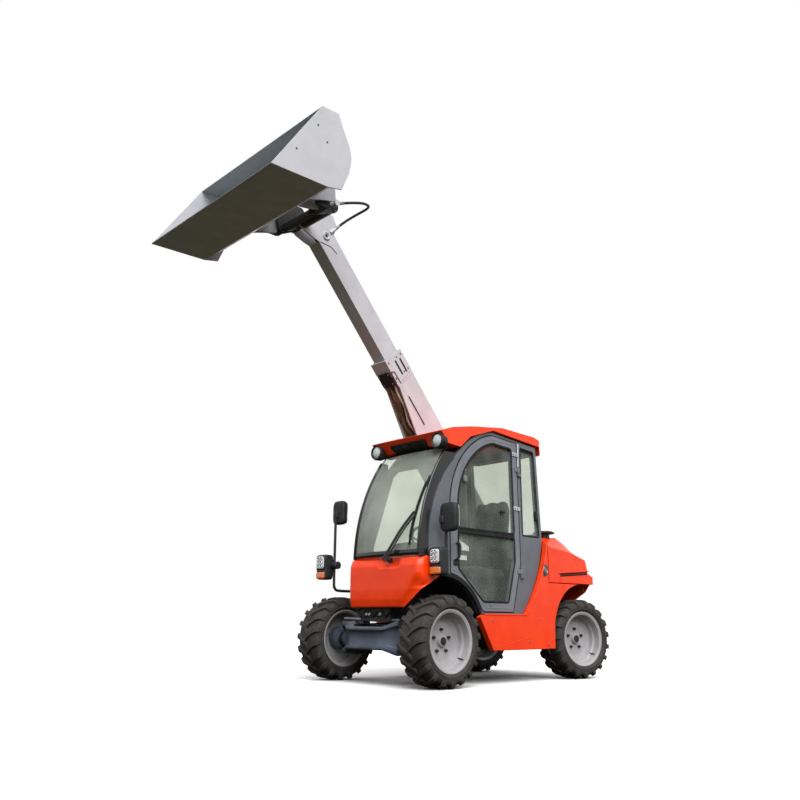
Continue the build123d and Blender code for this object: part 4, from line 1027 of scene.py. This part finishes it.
def make_boom_fittings():
    """Pin ends, weld seams, slots, wear pads and the hose clamp plate of the outer section; and the hoses
    under it, which sag and sway as sines of the way along them."""
    pins = discs(0, 0, 0.096, 0.045, 0.012, 0.88) + discs(*LIFT_LUG, 0.0935, 0.030, 0.012, 0.88)
    keepers = bolts([boom(0.030 * c, 0.030 * s, 0.108) for c, s in ((0, 0), (0.8, 0.6))], LEFT, 0.009)
    edge = [(2.200, -0.133), (2.151, -0.091), (2.024, -0.090), (2.040, 0.128)]
    seams = []
    for x in (0.0965, -0.0965):
        seams += [boom_line(edge, x, 0.02, 0.0035, 8),
                  boom_line([(0.30, -0.094), (2.0, -0.094)], x * 0.985, 0.04, 0.003, 6)]
    # a dark bead along the collar's step: a painted shadow line, not a seal
    painted_shadow_line = [boom_line([(2.060, -0.137), (2.182, -0.137), (2.158, -0.092), (2.037, -0.088)], 0.1005, 0.015,
                        0.0042, 8, 0.5)]
    slots = [plate([(s - 0.070, t - 0.011), (s + 0.070, t - 0.011), (s + 0.078, t), (s + 0.070, t + 0.011),
                    (s - 0.070, t + 0.011), (s - 0.078, t)], boom, way * 0.0995, way * 0.1012, 0.0004)
             for s, t in ((2.166, -0.012), (2.156, 0.058)) for way in SIDES]
    slots += [plate([(1.557, -0.086), (1.879, -0.086), (1.885, -0.080), (1.879, -0.075), (1.557, -0.075),
                     (1.551, -0.080)], boom, way * 0.0945, way * 0.0985, 0.0004) for way in SIDES]
    under = [plate([(-0.078, 2.045), (0.078, 2.045), (0.078, 2.175), (0.060, 2.190), (-0.060, 2.190),
                    (-0.078, 2.175)], below, -0.1495, -0.142)]
    under_bolts = bolts([boom(s, -0.150, x) for s in (2.065, 2.165) for x in (-0.06, 0.06)], BOOM_DOWN, 0.008)
    pads = [plate([(-0.06, way * 0.09), (0.06, way * 0.09), (0.06, way * 0.101), (-0.06, way * 0.101)],
                  on_end, 2.296, 2.306, 0.001) for way in SIDES]
    screws = [boom(s, t, 0.1002) for s in (2.10, 2.26) for t in (0.095, 0.028, -0.105)]
    heads = keepers + under_bolts + bolts(screws, LEFT, 0.007)
    piece("boom_fittings", "boom", [(LIGHT, seams), (DARK, pins), (SEAL, painted_shadow_line + slots),
                                    (PLASTIC, pads + under), (ZINC, heads)])
    layers = []
    along = np.linspace(0, 1, 40)
    for name, (x, t, colour) in BOOM_HOSES.items():
        sag = t - 0.018 + 0.105 * along + 0.010 * np.sin(along * 17 + x * 90)
        sway = x + 0.010 * np.sin(along * 11 + t * 60)
        skin = finish(name, colour, dimmed(colour, 0.7), 0.6, patch=30, grain=600)
        layers.append((skin, [tube(boom(1.36 + 0.76 * along, sag, sway), 0.010, 10)]))
    piece("boom_hoses", "boom", layers)


def make_head_fittings():
    """Ends of the pins in the boom's nose, rims round its hub, a dark joint line and a pin's end."""
    rims = [ringed([(0.0, 0.026), (0.006, 0.030), (0.006, 0.036), (0.0, 0.040)],
                   boom(*NOSE_HUB, way * 0.0805), (way, 0, 0), 40) for way in SIDES]
    joint = [boom_line([(3.548, -0.092), (3.491, -0.034), (3.458, -0.004), (3.379, 0.020)], 0.0736, 0.01,
                       0.0035, 8)]
    piece("boom_nose_fittings", "telescope", [
        (LIGHT, rims), (DARK, discs(*HEAD_PIVOT, 0.085, 0.034, 0.010, 0.85)),
        (SEAL, joint + discs(*NOSE_HUB, 0.060, 0.0175, 0.004, 0.85, (1,)))])


HOSE_ROUTE = np.array([
    (-0.205, -0.502, 3.995), (-0.178, -0.428, 4.080), (-0.105, -0.345, 4.160), (0.000, -0.302, 4.196),
    (0.090, -0.338, 4.181), (0.165, -0.462, 4.132), (0.208, -0.600, 4.068), (0.230, -0.728, 4.006),
    (0.240, -0.822, 3.961),
])
HOSE_RADIUS = 0.012
FERRULE = ([(0.001, 0.0155), (0.018, 0.0155), (0.019, 0.0140), (0.022, 0.0138)]
           + [(0.024 + 0.006 * k, 0.0150 - 0.0010 * (k % 2)) for k in range(6)] + [(0.060, 0.0135)])


def make_hose():
    """A sleeved hose as one smooth curve, with a crimped ferrule and a nut at each end."""
    points = HOSE_ROUTE + ORIGIN
    data = bpy.data.curves.new("sleeved_hose", "CURVE")
    data.dimensions = "3D"
    line = data.splines.new("NURBS")
    line.points.add(len(points) - 1)
    line.points.foreach_set("co", np.hstack([points, np.ones((len(points), 1))]).ravel())
    line.order_u = 3
    line.use_endpoint_u = True
    line.resolution_u = 12
    data.bevel_depth = HOSE_RADIUS
    data.bevel_resolution = 5
    data.use_fill_caps = True
    data.materials.append(finish("hose_sleeve", srgb(38, 38, 40), srgb(24, 24, 26), 0.7, patch=60, grain=500,
                                 relief=0.4, speck=0.5))
    hose = placed("sleeved_hose", data)
    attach(hose, "telescope")
    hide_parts("auxiliary_hose")
    ends = [lathe(FERRULE, HOSE_ROUTE[here], HOSE_ROUTE[after] - HOSE_ROUTE[here], 24)
            for here, after in ((0, 1), (-1, -2))]
    ferrules = piece("hose_ferrules", "telescope", [(ZINC, ends)])


LOCK_ROD = (-1.045, 3.822)    # y, z
BOLT_RING = (0.1975, -0.856, 3.946)    # its middle
BOLT_RING_RADIUS = 0.046
BUCKET_SIDE = 0.8765


def make_coupler_fittings():
    """A lock rod in springs coiled as helices, pin ends and a ring of bolts on the coupler; the bucket's
    wear edge and the holes in its side plates."""
    rod_y, rod_z = LOCK_ROD
    pins = [lathe([(0, 0.022), (0.014, 0.022), (0.018, 0.016)], (way * 0.3605, -1.120, 4.050), (way, 0, 0),
                  28) for way in SIDES]
    lock = [tube([(x, rod_y, rod_z) for x in (-0.34, 0.34)], 0.0125, 14)]
    turn, coil = np.linspace(0, 16 * pi, 192), 0.019
    springs = [tube(np.stack([start + 0.12 * turn / turn[-1], rod_y + coil * np.cos(turn),
                              rod_z + coil * np.sin(turn)], -1), 0.003, 6) for start in (-0.26, 0.14)]
    places = around(BOLT_RING_RADIUS, 6, 0.0) + BOLT_RING
    zinc = springs + pins + bolts(places, LEFT, 0.006)
    piece("coupler_fittings", "carriage", [(CHROME, lock), (ZINC, zinc)])
    lip = [plate([(-1.9480, 3.5805), (-1.905, 3.5820), (-1.905, 3.5950), (-1.9480, 3.5890)], side,
                 -0.876, 0.876)]
    hole = [(0, 0.009), (0.0015, 0.009), (0.002, 0.007)]
    holes = [lathe(hole, (way * BUCKET_SIDE, *place), (way, 0, 0), 20)
             for place in ((-1.554, 4.072), (-1.463, 3.966), (-1.740, 3.789)) for way in SIDES]
    piece("bucket_fittings", "carriage", [(WORN, lip), (DARK, holes)])


# Profiles round a cylinder: distances along it, and shares of its radius.
GLAND = ((-0.034, 0.98), (-0.034, 1.06), (-0.008, 1.10), (-0.003, 1.02), (-0.003, 0.98))
BAND = ((0, 0.98), (0, 1.07), (0.012, 1.07), (0.012, 0.98))
# A cylinder's hard line: shares of its length, and shares of its radius out from its middle.
HARD_LINE = ((0.18, 0.93), (0.20, 1.30), (0.5, 1.34), (0.88, 1.30), (0.90, 0.93))


def make_cylinder_fittings():
    """A gland nut, a band and a hard line on the lift and tilt cylinders, along the line from each one's
    base to its rod's eye."""
    lever = TILT_ARM * np.array([cos(TILT_ARM_ANGLE), sin(TILT_ARM_ANGLE)])
    for name, base, eye, length, radius in (
            ("lift", LIFT_BASE, boom(*LIFT_LUG, 0)[1:], 0.720, 0.040),
            ("tilt", boom(*TILT_HINGE, 0)[1:], boom(*HEAD_PIVOT, 0)[1:] + lever, 0.285, 0.026)):
        start = np.array([BOOM_X, *base])
        along = np.array([0, *unit(eye - np.array(base))])
        gland, band = (ringed([(d, radius * share) for d, share in profile], start + along * length * at,
                              along, 32) for profile, at in ((GLAND, 1), (BAND, 0.35)))
        square = np.cross(along, LEFT)
        hard_line = pipe([start + along * length * share + square * radius * out for share, out in HARD_LINE],
                         radius * 0.16)
        piece(f"{name}_cylinder_fittings", f"{name}_cylinder",
              [(DARK, [band]), (ZINC, [gland, hard_line])])


def make_engine():
    """Block and sump, manifold, ribbed rocker cover, belt pulleys and air filter."""
    x = 0.10
    cast = [pillow((x, 1.700, 0.700), (0.330, 0.440, 0.340), 9, 16, 40),
            pillow((x, 1.700, 0.560), (0.250, 0.380, 0.070), 6, 10, 32)]
    cast += [pipe([(0.255, y, 0.860), (0.295, y, 0.850), (0.305, y + 0.01, 0.800)], 0.020, 12)
             for y in np.linspace(1.57, 1.83, 4)]
    cast += [tube([(0.298, y, 0.800) for y in (1.55, 1.70, 1.85)], 0.024, 14)]
    cover = [pillow((x, 1.690, 0.905), (0.170, 0.400, 0.100), 6, 14, 32)]
    cover += [pillow((x, y, 0.956), (0.150, 0.014, 0.014), 5, 6, 16) for y in np.linspace(1.54, 1.84, 7)]
    pulleys = [lathe([(0, r), (0.006, r), (0.012, r * 0.88), (0.018, r), (0.024, r)], (px, 1.476, z), AHEAD,
                     32) for px, z, r in ((x, 0.66, 0.065), (0.02, 0.83, 0.040), (0.19, 0.80, 0.035))]
    air = [lathe([(0, 0.050), (0.010, 0.058), (0.215, 0.058), (0.220, 0.064), (0.235, 0.064), (0.240, 0)],
                 (-0.060, 1.560, 0.930), BACK, 36)]
    piece("ribbed_engine", "chassis", [(CAST, cast), (DARK, cover), (ZINC, pulleys), (PLASTIC, air)],
          "engine_block")


# ---------------------------------------------------------------- light, floor and camera

WHITE = (1.0, 1.0, 1.0, 1.0)
SKY = (0.30, 1.0)    # strengths from the horizon to high up
SUN = 3.5
SUN_FROM = (0.95, -0.58, 1.05)
FLOOR_BOUNCE = (0.050, 0.054, 0.034, 1.0)
FLOOR_REACH = 40.0


def make_sky():
    """The world is white to the camera, in reflections and through glass; elsewhere its strength grows
    from the horizon upwards."""
    world = bpy.data.worlds.new("studio")
    bpy.context.scene.world = world
    tree = emptied(world)
    path = node(tree, "ShaderNodeLightPath")
    seen = path.outputs["Is Camera Ray"]
    for name in ("Is Glossy Ray", "Is Transmission Ray"):
        seen = maths(tree, "MAXIMUM", seen, path.outputs[name])
    place = node(tree, "ShaderNodeTexCoord").outputs["Generated"]
    height = node(tree, "ShaderNodeSeparateXYZ", Vector=place).outputs[2]
    glow = spread(tree, height, *SKY, start=0.0, end=0.8)
    soft = node(tree, "ShaderNodeBackground", Color=WHITE, Strength=glow)
    white = node(tree, "ShaderNodeBackground", Color=WHITE, Strength=1.0)
    mixed = node(tree, "ShaderNodeMixShader", i0=seen, i1=soft.outputs[0], i2=white.outputs[0])
    node(tree, "ShaderNodeOutputWorld", i0=mixed.outputs[0])


def make_floor():
    """A wide plane, white to the camera and dim to everything else."""
    corners = [(x * FLOOR_REACH, y * FLOOR_REACH, 0) for x, y in ((-1, -1), (1, -1), (1, 1), (-1, 1))]
    mesh = bpy.data.meshes.new("floor")
    mesh.from_pydata(corners, [], [[0, 1, 2, 3]])
    ground = placed("floor", mesh)
    skin = bpy.data.materials.new("floor_paper")
    tree = emptied(skin)
    path = node(tree, "ShaderNodeLightPath")
    pale = blended(tree, path.outputs["Is Camera Ray"], FLOOR_BOUNCE, WHITE)
    paper = node(tree, "ShaderNodeBsdfDiffuse", Color=pale)
    node(tree, "ShaderNodeOutputMaterial", i0=paper.outputs[0])
    mesh.materials.append(skin)


def make_studio():
    """The sky, one wide soft lamp that shines from SUN_FROM, and the floor."""
    bpy.context.scene.view_settings.view_transform = "Standard"
    make_sky()
    lamp = bpy.data.lights.new("softbox", "SUN")
    lamp.energy = SUN
    lamp.angle = radians(50)
    light = placed("softbox", lamp)
    back = unit(SUN_FROM)
    right = unit(np.cross(UP, back))
    light.rotation_euler = Matrix((right, np.cross(back, right), back)).transposed().to_euler()
    make_floor()


HEADING = radians(46.18)
PITCH = radians(15.41)
ROLL = radians(0.40)
EYE = np.array([5.06, -4.70, 0.51])
LENS_MM = 35.82


def make_camera():
    """The view looks along heading and pitch, turned by roll about its own line of sight."""
    ahead = np.array([-sin(HEADING) * cos(PITCH), cos(HEADING) * cos(PITCH), sin(PITCH)])
    right = np.array([cos(HEADING), sin(HEADING), 0.0])
    up = np.cross(right, ahead)
    x_axis = cos(ROLL) * right + sin(ROLL) * up
    y_axis = -sin(ROLL) * right + cos(ROLL) * up
    data = bpy.data.cameras.new("camera")
    data.lens, data.sensor_width = LENS_MM, 36.0
    eye = placed("camera", data)
    turn = Matrix((x_axis, y_axis, -ahead)).transposed()
    eye.matrix_world = Matrix.Translation(EYE + ORIGIN) @ turn.to_4x4()
    bpy.context.scene.camera = eye


make_wheels()
make_axle_fittings()
make_windscreen()
make_cab_trim()
make_door_trim()
make_wiper()
make_mirrors()
make_lamps()
make_steering_wheel()
make_seat()
make_console()
make_body_fittings()
make_nose()
make_front_beam()
make_roof_grille()
make_boom_fittings()
make_head_fittings()
make_hose()
make_coupler_fittings()
make_cylinder_fittings()
make_engine()
make_studio()
make_camera()
